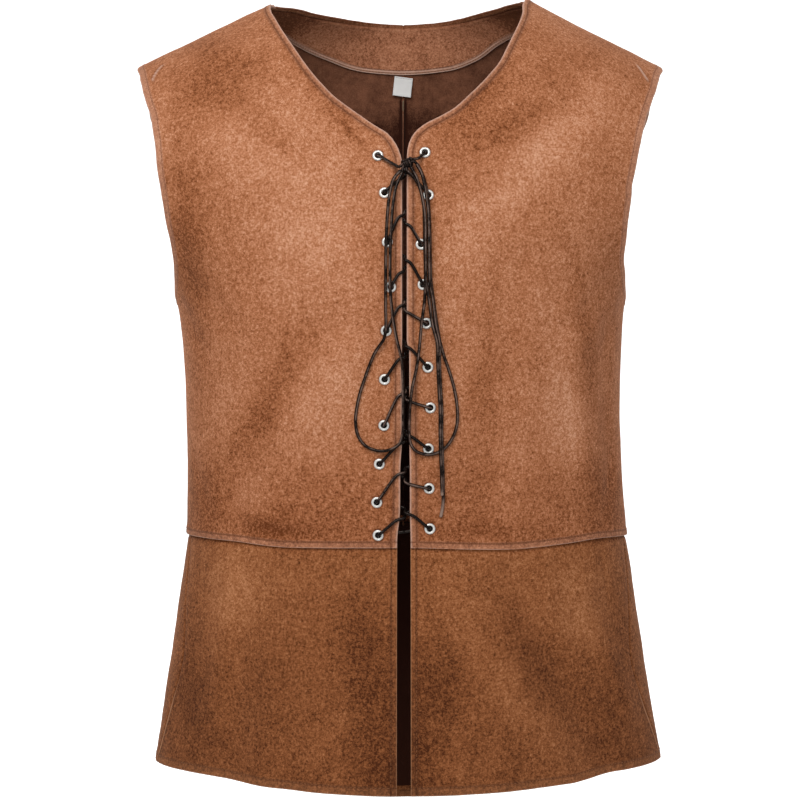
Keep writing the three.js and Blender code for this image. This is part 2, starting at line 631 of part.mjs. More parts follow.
// One strand from the middle of the hidden bar at the bottom, through an
// eyelet of each row in turn, changing sides, to beside the knot.
function strand(first, lag, last) {
  const sign = first === 'left' ? 1 : -1;
  const points = [];
  const put = (v, out) => points.push(onFront(v.x, v.y, out));
  let side = first;
  const bottom = eyeletAt(10, first);
  const mid = opening(bottom.y).middle;
  const barZ = (eyeletAt(10, 'left').y + eyeletAt(10, 'right').y) / 2;
  put(new THREE.Vector2(mid + sign * half, barZ), -3.7);
  put(new THREE.Vector2(mix(mid, bottom.x, 0.4), mix(barZ, bottom.y, 0.4)), -3.8);
  for (const g of GOING_IN) put(new THREE.Vector2(bottom.x - sign * g.along, bottom.y), g.out);
  for (let row = 10; row >= 1; row--) {
    const e = eyeletAt(row, side);
    put(e, -0.9);
    if (row === 1) {
      const away = new THREE.Vector2(last.x, last.z).sub(e).normalize();
      for (const g of COMING_OUT) put(e.clone().addScaledVector(away, g.along), g.out);
      put(new THREE.Vector2(last.x, last.z), last.out);
      break;
    }
    const s = side === 'left' ? 1 : -1;
    const next = eyeletAt(row - 1, other(side));
    const cross = mix(e.y, next.y, 0.52) + lag;
    const gap = opening(cross);
    const reach = Math.max(gap.half - 1.9, 0);
    const there = new THREE.Vector2(gap.middle + s * (reach + 4.6), cross - 4);
    const away = there.clone().sub(e);
    const far = away.length();
    away.normalize();
    for (const g of COMING_OUT) if (g.along < far - 2.5) put(e.clone().addScaledVector(away, g.along), g.out);
    put(there, 2.3);
    put(new THREE.Vector2(gap.middle + s * 0.3, cross - 1.6), 1.1);
    put(new THREE.Vector2(gap.middle - s * 0.3, cross + 1.6), -2.9);
    const beyond = new THREE.Vector2(gap.middle - s * (reach + 4.6), cross + 4);
    put(beyond, -4.1);
    const towards = next.clone().sub(beyond);
    const left = towards.length();
    towards.normalize();
    for (const g of GOING_IN) if (g.along < left - 2.5) put(next.clone().addScaledVector(towards, -g.along), g.out);
    side = other(side);
  }
  return points;
}

const beside = (dx, dz, out) => ({ x: KNOT.x + dx, z: KNOT.z + dz, out });
cord('lacing_strand_a', strand('left', 3.7, beside(-8.4, -2.6, 6.6)));
cord('lacing_strand_b', strand('right', -3.7, beside(8.6, 4.6, 6.6)));

const along = (route) => route.map((p) => onFront(p.x, p.z, p.out));
cord('bow_loop_right', along(LOOP_RIGHT));
cord('bow_loop_left', along(LOOP_LEFT));
cord('lace_end_1', along(END_1));
cord('lace_end_2', along(END_2));

const knot = new THREE.SphereGeometry(1, 12, 8);
knot.deleteAttribute('normal');
knot.deleteAttribute('uv');
const knotBody = mergeVertices(knot, 1e-4);
knotBody.scale(KNOT.halfWidth, KNOT.halfDepth, KNOT.halfHeight);
knotBody.rotateY(-KNOT.turn * rad);
const knotAt = onFront(KNOT.x, KNOT.z, KNOT.out);
knotBody.translate(knotAt.x, knotAt.y, knotAt.z);
// Drop the slivers at the poles, which the merge closes to single points.
{
  const ix = knotBody.getIndex().array, keep = [];
  for (let i = 0; i < ix.length; i += 3) {
    if (ix[i] !== ix[i + 1] && ix[i + 1] !== ix[i + 2] && ix[i] !== ix[i + 2]) keep.push(ix[i], ix[i + 1], ix[i + 2]);
  }
  knotBody.setIndex(keep);
}
add('bow_knot', facingOut(knotBody), LACE.clone());

export default group;
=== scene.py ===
# Laced suede vest: the detailed cloth, eyelets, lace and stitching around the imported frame.
# Millimetres in the tables and shape functions, metres in Blender.
import math

import bpy
import numpy as np
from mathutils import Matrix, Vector, kdtree


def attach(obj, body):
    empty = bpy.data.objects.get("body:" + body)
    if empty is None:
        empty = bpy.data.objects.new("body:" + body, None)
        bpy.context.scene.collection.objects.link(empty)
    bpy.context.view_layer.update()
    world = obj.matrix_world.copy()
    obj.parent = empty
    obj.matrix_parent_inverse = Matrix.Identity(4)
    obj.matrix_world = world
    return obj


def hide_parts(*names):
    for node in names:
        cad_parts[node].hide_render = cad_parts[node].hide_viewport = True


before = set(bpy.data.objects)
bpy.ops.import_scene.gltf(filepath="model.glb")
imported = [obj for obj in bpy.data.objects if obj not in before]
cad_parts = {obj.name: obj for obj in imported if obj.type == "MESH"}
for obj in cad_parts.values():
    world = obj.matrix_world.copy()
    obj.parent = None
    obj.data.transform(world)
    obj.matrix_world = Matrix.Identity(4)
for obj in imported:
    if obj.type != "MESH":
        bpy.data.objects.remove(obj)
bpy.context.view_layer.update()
MM = 0.001


def table(columns, rows):
    return {c: np.array([r[i] for r in rows], float) for i, c in enumerate(columns)}


# ------------------------------------------------------------------ camera
camera = bpy.data.cameras.new("camera")
camera.sensor_fit = "HORIZONTAL"
camera.sensor_width = 36.0
camera.lens = 65.565
camera.clip_end = 40
camera_object = bpy.data.objects.new("camera", camera)
bpy.context.scene.collection.objects.link(camera_object)
camera_object.location = (-0.0032, -1.350, -0.3678)
camera_object.rotation_euler = (math.radians(90), 0, 0)
bpy.context.scene.camera = camera_object

# ------------------------------------------------------- tables of the form
SECTIONS = table(
    ["z", "right", "left", "front", "back", "square"],
    [
        [8, 86, 92, 54, 84, -0.08],
        [4, 99, 104.5, 57, 87, -0.08],
        [0, 112.5, 117.5, 60, 90, -0.08],
        [-6, 128, 129.5, 62.5, 93, -0.07],
        [-14, 146, 144.5, 66, 97, -0.06],
        [-24, 167, 162.5, 70, 101, -0.05],
        [-34, 187.5, 182, 74.5, 105, -0.04],
        [-44, 207.5, 202.5, 79, 109, -0.03],
        [-54, 229, 222.5, 83.5, 113, -0.02],
        [-64, 248.5, 240.5, 88, 116.5, -0.015],
        [-74, 263.5, 255, 92, 119.5, -0.01],
        [-84, 274.5, 266, 96, 122, 0],
        [-98, 285, 275.5, 101, 125, 0.01],
        [-115, 289, 279.5, 107, 128, 0.015],
        [-135, 288, 278, 113, 130.5, 0.02],
        [-160, 280, 270, 119, 132, 0.02],
        [-185, 266, 256, 123, 132, 0.02],
        [-210, 248, 239.5, 126, 130.5, 0.02],
        [-230, 233.5, 226, 127.6, 128.5, 0.02],
        [-250, 220.5, 214, 128.2, 126, 0.02],
        [-270, 211.5, 206, 128, 123.5, 0.02],
        [-292, 206, 202.5, 127, 120.5, 0.018],
        [-320, 203, 200.8, 125, 116, 0.015],
        [-370, 200.5, 199.5, 121, 108.5, 0.01],
        [-430, 199.5, 201.5, 116, 102, 0.005],
        [-490, 200, 206, 114, 100, 0],
        [-560, 208.5, 215.5, 121, 107, -0.04],
        [-640, 220.5, 228, 130.5, 118, -0.08],
        [-700, 229, 238, 137.5, 126, -0.09],
        [-765, 236, 246, 143, 132, -0.09],
    ],
)
FRONT_EDGE = table(
    ["z", "right", "left"],
    [
        [2, 122, 112],
        [-4, 121.5, 110.3],
        [-10, 121.2, 107.9],
        [-18, 119.2, 107.2],
        [-27, 114.6, 104.6],
        [-38, 108.9, 100.2],
        [-50, 101.9, 94.8],
        [-62, 94.4, 89.3],
        [-75, 86.2, 82.8],
        [-88, 76.9, 73.0],
        [-98, 68.6, 64.2],
        [-108, 59.3, 54.4],
        [-118, 47.0, 43.9],
        [-126, 36.4, 31.3],
        [-134, 25.3, 17.0],
        [-142, 13.6, 8.6],
        [-150, 7.4, 4.6],
        [-158, 3.6, 2.9],
        [-168, 1.4, 2.5],
        [-318, 1.4, 2.5],
        [-327, 1.5, 4.5],
        [-402, 1.5, 4.7],
        [-425, 2.9, 5.1],
        [-462, 3.2, 5.2],
        [-488, 5.6, 5.8],
        [-700, 5.9, 5.9],
    ],
)
ARMHOLE = table(
    ["z", "right", "left", "back"],
    [
        [-62, 90, 90, 90],
        [-63.3, 80.0, 82.4, 83],
        [-66, 74.8, 76.2, 76.5],
        [-70, 69.8, 71.0, 72.5],
        [-75, 64.6, 65.2, 68.5],
        [-82, 59.9, 59.9, 64.5],
        [-93, 54.6, 54.7, 60],
        [-103, 51.9, 51.6, 57],
        [-122, 48.9, 48.4, 52.6],
        [-141, 48.1, 47.2, 52.2],
        [-158.5, 49.0, 47.5, 53],
        [-176, 50.4, 48.6, 55.2],
        [-193, 52.3, 50.9, 57.8],
        [-210, 55.6, 53.7, 61.5],
        [-227, 59.3, 57.6, 65.5],
        [-243.5, 64.3, 62.4, 70.5],
        [-256, 69.5, 68.5, 75],
        [-266, 75.5, 75.0, 79.5],
        [-272, 81.5, 81.0, 84.5],
        [-275, 90, 90, 90],
    ],
)
BACK_NECK = table(
    ["angle", "top", "facing"],
    [
        [90, 2.0, -11],
        [110, 4.6, -11.5],
        [127, 4.4, -14.8],
        [140, 3.7, -20],
        [157, 3.0, -33],
        [166, 2.8, -39],
        [180, 2.6, -42.2],
        [191, 2.8, -40.2],
        [206, 2.8, -30.6],
        [225, 2.4, -20.7],
        [237, 2.2, -15.8],
        [250, 1.9, -13.8],
        [270, -2.4, -14.9],
    ],
)
SKIRT_SEAM = table(
    ["z", "right", "left"],
    [
        [-493, 78, 78],
        [-540, 74.5, 74.5],
        [-600, 71.5, 70.8],
        [-640, 75.5, 75.5],
        [-675, 79.5, 81.5],
        [-698, 83, 85.5],
    ],
)
DIP = table(
    ["angle", "waist", "hem"],
    [
        [-180, 1, -0.5],
        [-90, 3, 0],
        [-50, 2, 1.5],
        [-30, -1.5, -0.5],
        [0, -0.5, 0],
        [25, -2.8, -0.5],
        [42, 0, 0],
        [58, 3, 3],
        [90, 1.5, 2],
        [180, 1, -0.5],
    ],
)
FOLDS = table(
    ["angle1", "z1", "angle2", "z2", "width", "height"],
    [
        [-21, -310, -49, -455, 17, -2.4],
        [-14, -330, -37, -450, 16, 1.6],
        [-52, -200, -40, -300, 24, 1.5],
        [-36, -85, -24, -150, 16, -1.8],
        [34, -100, 24, -150, 16, -1.6],
        [45, -290, 52, -420, 15, 1.8],
        [62, -300, 66, -440, 15, -2.0],
        [26, -260, 22, -430, 18, -1.5],
        [-50, -530, -54, -640, 20, 2.6],
        [-12, -540, -16, -640, 18, -2.6],
        [-16, -640, -27, -698, 16, -2.4],
        [-34, -600, -36, -698, 20, 2.0],
        [14, -530, 42, -698, 15, 2.6],
        [26, -520, 56, -690, 15, -2.6],
        [50, -540, 66, -640, 16, 2.4],
        [10, -590, 9, -650, 15, -2.2],
        [128, -540, 132, -720, 20, 2.8],
        [150, -560, 156, -750, 18, -2.6],
        [176, -530, 178, -760, 22, 2.4],
        [203, -550, 198, -750, 18, -2.6],
        [226, -540, 222, -720, 20, 2.8],
        [250, -560, 246, -698, 18, -2.2],
        [112, -550, 110, -698, 18, -2.2],
        [140, -330, 128, -460, 20, -2.2],
        [218, -320, 234, -450, 20, -2.2],
        [160, -380, 168, -480, 18, 1.6],
        [195, -400, 188, -480, 18, 1.4],
        [146, -120, 158, -220, 24, 1.6],
        [212, -120, 202, -220, 24, 1.6],
    ],
)
# Smaller creases that only the cloth here has.
CREASES = table(
    ["angle1", "z1", "angle2", "z2", "width", "height"],
    [
        [-38, -480, -26, -482, 5, -0.7],
        [-41, -470, -30, -474, 7, 0.6],
        [-60, -262, -44, -300, 8, -0.8],
        [-72, -284, -58, -330, 9, -0.9],
        [-66, -276, -50, -316, 8, 0.6],
        [58, -262, 43, -306, 8, -0.8],
        [72, -286, 57, -336, 9, -0.9],
        [66, -278, 49, -320, 8, 0.6],
        [-70, -420, -58, -470, 9, -0.8],
        [70, -410, 60, -476, 9, -0.8],
        [-30, -504, -31, -545, 7, 0.7],
        [-44, -502, -46, -538, 6, -0.6],
        [36, -503, 38, -540, 7, 0.7],
        [58, -503, 60, -545, 6, -0.6],
        [-8, -502, -9, -530, 5, -0.5],
        [18, -502, 19, -532, 6, -0.6],
        [-60, -120, -52, -180, 8, -0.7],
        [-12.4, -120, -5.6, -150, 3.0, -1.1],
        [-10.6, -118, -4.4, -147, 2.6, 0.4],
        [60, -118, 53, -175, 8, -0.7],
        [118, -262, 134, -304, 9, -0.9],
        [242, -262, 226, -306, 9, -0.9],
        [106, -290, 120, -340, 9, -0.8],
        [254, -290, 240, -342, 9, -0.8],
        [120, -60, 136, -100, 12, -0.9],
        [240, -62, 224, -104, 12, -0.9],
        [150, -470, 162, -484, 7, -0.8],
        [212, -468, 198, -484, 7, -0.8],
        [140, -503, 141, -550, 7, 0.7],
        [168, -503, 169, -545, 7, -0.6],
        [196, -503, 197, -550, 7, 0.7],
        [224, -503, 225, -545, 7, -0.6],
    ],
)
EYELETS = table(
    ["row", "right", "rightZ", "left", "leftZ"],
    [
        [1, 21.9, -161.2, 17.9, -158.5],
        [2, 16.2, -193.4, 20.6, -195.3],
        [3, 13.8, -235.2, 14.5, -237.2],
        [4, 11.0, -273.1, 16.1, -271.0],
        [5, 14.8, -309.6, 19.0, -303.4],
        [6, 16.2, -350.5, 20.3, -340.2],
        [7, 16.8, -389.3, 22.4, -374.4],
        [8, 20.7, -422.1, 20.9, -409.1],
        [9, 22.9, -454.7, 21.5, -442.8],
        [10, 21.8, -482.7, 22.1, -477.1],
    ],
)
WALL = 1.8
CLOTH = 1.45  # thickness of the shell drawn here
WAIST_Z, HEM_Z, TAIL_Z, TAIL_DROP = -493, -698, -560, 73
TIP_Z, UNDERARM_Z = -62, -275
NECK_POINT = {"right": -2.4, "left": 2.0}
CORD_RADIUS = 1.35
KNOT = {"x": 3.4, "z": -170.5, "out": 8.2}
KNOT_TURN = 24  # degrees, the wearer's left end higher

ROUTE = ["x", "z", "out"]
LOOP_RIGHT = table(
    ROUTE,
    [
        [-2.6, -177, 8.4], [-6.2, -180.6, 8.2], [-9, -185, 7.8], [-11.2, -193, 7.2],
        [-12.9, -205, 6.6], [-14, -220, 6.2], [-14.8, -242.7, 6], [-15, -267.7, 6], [-15, -290, 6],
        [-14.9, -306, 6], [-16.4, -316, 5.2], [-20.6, -322.6, 3.6], [-24.2, -328, 2.4],
        [-29.3, -340, 1.9], [-33.2, -351, 1.9], [-36.8, -362, 1.9], [-40.2, -378.9, 1.9],
        [-40.4, -388.7, 1.9], [-38.2, -398.4, 1.9], [-32.1, -406.4, 1.9], [-21.6, -410.4, 3.2],
        [-11.3, -409.2, 5.6], [-4, -404.6, 5.6], [-1, -396, 5.2], [-0.5, -380, 5],
        [-0.6, -352, 5.2], [-1.8, -334, 5.6], [-5.9, -316, 6], [-8.9, -299, 6.2],
        [-10.9, -278, 6.4], [-11.3, -250, 6.8], [-10.4, -226, 7.2], [-9, -206, 7.8],
        [-6.2, -190, 8.4], [-1.2, -178.6, 8.8],
    ],
)
LOOP_LEFT = table(
    ROUTE,
    [
        [11.4, -171.4, 8], [14, -176.6, 7.8], [17.1, -184.6, 7.2], [19.4, -195, 6.4],
        [20.8, -209.3, 6], [21.6, -230, 6], [21.8, -250, 6], [22.4, -268, 6], [24.6, -285, 6],
        [27.2, -303.6, 5.6], [30.4, -320, 4], [33.9, -331.7, 2.6], [37.1, -340.6, 2],
        [42.3, -358, 1.9], [45, -376.1, 1.9], [44.6, -388.7, 1.9], [41.5, -398.4, 1.9],
        [36, -406.9, 1.9], [28.4, -412.2, 1.9], [19.3, -413.6, 2.8], [10.2, -410.4, 4.8],
        [5.9, -404.6, 5], [4.5, -396, 5], [4.6, -381.7, 5], [5.6, -367.8, 5.2], [7.2, -356, 5.4],
        [10.6, -340, 5.8], [12.6, -325, 6], [14.6, -303.6, 6.2], [17, -284.4, 6.4],
        [17.7, -266, 6.4], [17.2, -242.7, 6.6], [16.9, -221.9, 6.8], [16.2, -205.2, 7.2],
        [13.4, -192, 7.8], [7.6, -181.6, 8.4], [3.4, -177.6, 8.6],
    ],
)
END_1 = table(
    ROUTE,
    [
        [10.6, -172.6, 11], [14.8, -180.5, 10.6], [18.2, -196, 9.8], [20.2, -215, 9.4],
        [20.5, -242, 9.4], [20.9, -268, 9.4], [23.6, -285, 9.4], [26, -304, 8.6], [29.4, -320, 7],
        [29.6, -334, 5], [30.7, -356, 3.2], [31.9, -376, 2.8], [31.8, -392, 3.6],
        [31.9, -404, 5.2], [32.2, -414, 5.2], [32.8, -425, 3.8], [33.2, -437, 2.2],
        [33.3, -448, 1.9], [32.8, -458, 1.9], [31.2, -466.5, 1.9],
    ],
)
END_2 = table(
    ROUTE,
    [
        [6, -175.2, 11.8], [10.4, -183.5, 11.2], [14.6, -198, 10.4], [17.2, -215, 10],
        [17.6, -242, 10], [18, -268, 10], [20.6, -285, 10.2], [23.2, -304, 9.6], [27.2, -320, 8.8],
        [27.7, -334, 7.2], [28.9, -356, 5.5], [30.1, -376, 5.1], [30, -392, 5.9],
        [30.1, -404, 7.4], [30.4, -414, 7.4], [31, -425, 6.2], [31.6, -437, 4.8], [32, -448, 4.6],
    ],
)
COMING_OUT = [[0.3, 1.1], [2.0, 3.0], [6.0, 2.8]]
GOING_IN = [[6.0, -4.8], [2.0, -5.0], [0.3, -3.2]]

# Soft lighter (+) and darker (-) places of the suede, partly its own uneven tone and partly painted light on folds and
# painted shade in their troughs and towards the sides:
# centre, half length and half width, and how the long axis leans (degrees, 0 upright, + to the left).
NAP_AND_SHADE_FRONT = table(
    ["x", "z", "long", "wide", "lean", "shade"],
    [
        [-108, -168, 74, 62, 20, 0.11],
        [-70, -300, 60, 44, 0, 0.05],
        [62, -290, 60, 40, 0, 0.04],
        [-64, -100, 34, 15, 36, -0.13],
        [-168, -92, 26, 34, 10, -0.10],
        [-150, -70, 16, 60, -32, -0.08],
        [-48, -138, 22, 4, 47, -0.20],
        [-205, -150, 44, 10, 6, 0.07],
        [62, -112, 46, 15, -34, -0.12],
        [150, -72, 16, 56, 32, -0.06],
        [196, -140, 50, 12, -6, 0.05],
        [-70, -235, 60, 40, 0, 0.06],
        [-126, -128, 52, 13, 48, -0.12],
        [-118, -376, 92, 17, -31, -0.15],
        [-72, -392, 60, 30, -15, 0.08],
        [-134, -442, 24, 24, 0, 0.13],
        [-114, -477, 7, 26, 0, -0.16],
        [-60, -470, 16, 34, 0, -0.05],
        [-185, -330, 150, 18, 0, -0.10],
        [-196, -210, 60, 20, 0, -0.08],
        [85, -138, 52, 12, -62, -0.12],
        [118, -160, 80, 21, -40, 0.14],
        [60, -230, 50, 30, 10, 0.05],
        [138, -381, 92, 14, 6, 0.12],
        [160, -326, 72, 12, 11, -0.12],
        [72, -334, 86, 15, -3, -0.10],
        [100, -440, 30, 24, 0, 0.05],
        [188, -330, 150, 18, 0, -0.05],
        [60, -478, 8, 40, 0, -0.08],
        [-150, -540, 36, 24, 0, 0.13],
        [-95, -530, 18, 30, 0, 0.05],
        [-35, -578, 60, 24, 0, -0.12],
        [-62, -656, 38, 12, -35, 0.10],
        [-74, -674, 38, 11, -35, -0.10],
        [-120, -610, 40, 26, 10, -0.07],
        [-190, -600, 90, 20, 4, -0.10],
        [106, -575, 74, 17, 34, -0.10],
        [92, -620, 72, 14, 38, 0.09],
        [158, -560, 46, 16, 24, 0.10],
        [32, -603, 32, 22, 0, -0.11],
        [60, -540, 26, 26, 0, 0.05],
        [44, -680, 14, 30, 0, 0.06],
        [190, -600, 90, 20, -4, -0.09],
    ],
)
# The same kind of places on the back: angle from the wearer's left side.
NAP_AND_SHADE_BACK = table(
    ["angle", "z", "long", "wide", "lean", "shade"],
    [
        [150, -140, 60, 50, 15, 0.14],
        [212, -150, 62, 46, -12, 0.12],
        [180, -230, 90, 22, 0, -0.08],
        [128, -250, 70, 20, 20, -0.10],
        [234, -260, 72, 20, -22, -0.10],
        [160, -350, 60, 30, -14, 0.08],
        [206, -380, 64, 26, 12, 0.10],
        [142, -430, 40, 16, 30, -0.12],
        [222, -440, 36, 16, -28, -0.12],
        [180, -470, 10, 60, 0, -0.08],
        [130, -560, 50, 16, 8, 0.12],
        [152, -620, 80, 14, 6, -0.14],
        [176, -600, 70, 18, 0, 0.10],
        [202, -640, 80, 14, -6, -0.14],
        [226, -580, 60, 18, -8, 0.12],
        [248, -640, 50, 16, -6, -0.12],
        [108, -640, 50, 16, 6, -0.12],
        [172, -720, 22, 40, 0, 0.06],
    ],
)


# ------------------------------------------------------------ interpolation
class Smooth:
    """Smooth curve through a table's rows that never overshoots them."""

    def __init__(self, rows, x, y):
        order = np.argsort(rows[x])
        self.x, self.y = rows[x][order], rows[y][order]
        h = self.h = np.diff(self.x)
        d = np.diff(self.y) / h
        m = np.zeros(len(self.x))
        m[0], m[-1] = d[0], d[-1]
        a, b = 2 * h[1:] + h[:-1], h[1:] + 2 * h[:-1]
        same = d[:-1] * d[1:] > 0
        m[1:-1][same] = ((a + b)[same]) / (a[same] / d[:-1][same] + b[same] / d[1:][same])
        self.m = m

    def __call__(self, v):
        v = np.asarray(v, float)
        i = np.clip(np.searchsorted(self.x, v, side="right") - 1, 0, len(self.x) - 2)
        h, t = self.h[i], (v - self.x[i]) / self.h[i]
        a, b, p, q = self.y[i], self.y[i + 1], self.m[i] * h, self.m[i + 1] * h
        inside = a + t * (p + t * (3 * (b - a) - 2 * p - q + t * (2 * (a - b) + p + q)))
        inside = np.where(v <= self.x[0], self.y[0] + self.m[0] * (v - self.x[0]), inside)
        return np.where(v >= self.x[-1], self.y[-1] + self.m[-1] * (v - self.x[-1]), inside)


section = {k: Smooth(SECTIONS, "z", k) for k in ("right", "left", "front", "back", "square")}
front_edge = {k: Smooth(FRONT_EDGE, "z", k) for k in ("right", "left")}
armhole = {k: Smooth(ARMHOLE, "z", k) for k in ("right", "left", "back")}
skirt_seam = {k: Smooth(SKIRT_SEAM, "z", k) for k in ("right", "left")}
neck_top = Smooth(BACK_NECK, "angle", "top")
facing_low = Smooth(BACK_NECK, "angle", "facing")
waist_dip = Smooth(DIP, "angle", "waist")
hem_dip = Smooth(DIP, "angle", "hem")


def unit(v):
    return v / np.maximum(np.linalg.norm(v, axis=-1, keepdims=True), 1e-12)


def dot(a, b):
    return (a * b).sum(-1)


def step(v):
    v = np.clip(v, 0, 1)
    return v * v * (3 - 2 * v)


def bump(v):
    return np.where(np.abs(v) < 1, (1 - v * v) ** 2, 0)


def turned(a):
    return np.where(a > 180, a - 360, a)


def near_lines(rows, angle, z):
    """Sum of soft ridges and troughs, each along a line on the form."""
    total = np.zeros(np.broadcast(angle, z).shape)
    for a1, z1, a2, z2, width, height in zip(*(rows[k] for k in ("angle1", "z1", "angle2", "z2", "width", "height"))):
        for shift in (-360, 0, 360):
            ax, bx = (a1 + shift) * 3.2, (a2 + shift) * 3.2
            dx, dz = bx - ax, z2 - z1
            t = np.clip(((angle * 3.2 - ax) * dx + (z - z1) * dz) / (dx * dx + dz * dz), 0, 1)
            d2 = (angle * 3.2 - ax - t * dx) ** 2 + (z - z1 - t * dz) ** 2
            total = total + height * np.exp(-d2 / (width * width))
    return total


def bare(angle, z):
    angle, z = np.broadcast_arrays(np.asarray(angle, float), np.asarray(z, float))
    r = np.radians(angle)
    s, c = np.sin(r), np.cos(r)
    q = 1 + section["square"](z) * np.sin(2 * r) ** 2
    width = np.where(s > 0, section["left"](z), section["right"](z))
    depth = np.where(c > 0, section["front"](z), section["back"](z))
    return np.stack([width * s * q, -depth * c * q, z], -1)


def outward(angle, z):
    e = 0.5
    across = bare(angle + e, z) - bare(angle - e, z)
    up = bare(angle, z + e) - bare(angle, z - e)
    return unit(np.cross(across, up))


def form(angle, z, out=0.0):
    angle, z = np.broadcast_arrays(np.asarray(angle, float), np.asarray(z, float))
    lift = near_lines(FOLDS, angle, z) + out
    return bare(angle, z) + outward(angle, z) * lift[..., None]


def dipped(angle, z):
    tail = TAIL_DROP * np.maximum(0, -np.cos(np.radians(angle))) ** 2
    return (
        z
        + waist_dip(turned(angle)) * bump((z - WAIST_Z) / 110)
        + hem_dip(turned(angle)) * bump((z - HEM_Z) / 90)
        - tail * np.clip((TAIL_Z - z) / (TAIL_Z - HEM_Z), 0, 1)
    )


def angle_at(x, z):
    x, z = np.broadcast_arrays(np.asarray(x, float), np.asarray(z, float))
    width = np.where(x > 0, section["left"](z), section["right"](z))
    want, k = np.minimum(np.abs(x) / width, 1), section["square"](z)
    lo, hi = np.zeros(x.shape), np.full(x.shape, 90.0)
    for _ in range(40):
        m = (lo + hi) / 2
        low = np.sin(np.radians(m)) * (1 + k * np.sin(np.radians(2 * m)) ** 2) < want
        lo, hi = np.where(low, m, lo), np.where(low, hi, m)
    return np.sign(x) * lo


def on_front(x, z, out=0.0):
    return form(angle_at(x, z), z, out)


# ------------------------------------------------------------------- noise
_rng = np.random.default_rng(1507)
_PERM = np.tile(_rng.permutation(256), 2)
_GRAD = unit(_rng.normal(size=(256, 3)))


def noise(p):
    """Smooth noise of points, about -0.7 to 0.7, one unit to a wave."""
    i = np.floor(p).astype(int)
    f = p - i
    u = f * f * f * (f * (f * 6 - 15) + 10)
    i &= 255
    total = 0.0
    for cx in (0, 1):
        for cy in (0, 1):
            for cz in (0, 1):
                h = _PERM[_PERM[_PERM[(i[..., 0] + cx) & 255] + ((i[..., 1] + cy) & 255)] + ((i[..., 2] + cz) & 255)]
                g = dot(_GRAD[h], f - np.array([cx, cy, cz]))
                w = (
                    (u[..., 0] if cx else 1 - u[..., 0])
                    * (u[..., 1] if cy else 1 - u[..., 1])
                    * (u[..., 2] if cz else 1 - u[..., 2])
                )
                total = total + g * w
    return total


# Eyelet centres as points and outward directions.
eyelet_list = []
for _n in range(10):
    for _side, _sign in (("right", -1), ("left", 1)):
        _x, _z = _sign * EYELETS[_side][_n], EYELETS[_side + "Z"][_n]
        eyelet_list.append((_side, _n + 1, _x, _z, on_front(_x, _z), outward(angle_at(_x, _z), np.array(_z))))


def cloth(angle, z):
    """A point of the worn cloth with its folds, creases and slight unevenness, and its outward direction."""
    real = dipped(angle, z)
    base = bare(angle, real)
    normal = outward(angle, real)
    wave = 0.62 * noise(base / 41) + 0.26 * noise(base / 18 + 7.3) + 0.07 * noise(base / 7 + 3.1)
    lower = np.clip((WAIST_Z - 12 - z) / 60, 0, 1)
    wave = wave * (1 + 0.7 * lower)
    calm = np.ones(wave.shape)
    for _, _, _, _, p, _ in eyelet_list:
        r2 = ((base - p) ** 2).sum(-1)
        calm = calm * (1 - np.exp(-r2 / 13.0**2))
    lift = near_lines(FOLDS, angle, real) + (near_lines(CREASES, angle, real) + wave) * calm
    return base + normal * lift[..., None], normal


# --------------------------------------------------------------- mesh tools
def new_object(name, vertices, faces, materials, face_material=None, attributes=None, uv=None):
    mesh = bpy.data.meshes.new(name)
    vertices = np.asarray(vertices, float).reshape(-1, 3) * MM
    if isinstance(faces, np.ndarray):
        n, k = faces.shape
        mesh.vertices.add(len(vertices))
        mesh.vertices.foreach_set("co", vertices.astype(np.float32).ravel())
        mesh.loops.add(n * k)
        mesh.loops.foreach_set("vertex_index", faces.astype(np.int32).ravel())
        mesh.polygons.add(n)
        mesh.polygons.foreach_set("loop_start", np.arange(0, n * k, k, dtype=np.int32))
        mesh.update(calc_edges=True)
    else:
        mesh.from_pydata([tuple(v) for v in vertices], [], faces)
    for m in materials:
        mesh.materials.append(m)
    mesh.polygons.foreach_set("use_smooth", np.ones(len(mesh.polygons), bool))
    if face_material is not None:
        mesh.polygons.foreach_set("material_index", np.asarray(face_material, np.int32))
    for key, values in (attributes or {}).items():
        layer = mesh.attributes.new(key, "FLOAT", "POINT")
        layer.data.foreach_set("value", np.asarray(values, np.float32).ravel())
    if uv is not None:
        layer = mesh.uv_layers.new(name="UVMap")
        layer.data.foreach_set("uv", np.asarray(uv, np.float32).ravel())
    mesh.update()
    obj = bpy.data.objects.new(name, mesh)
    bpy.context.scene.collection.objects.link(obj)
    return obj


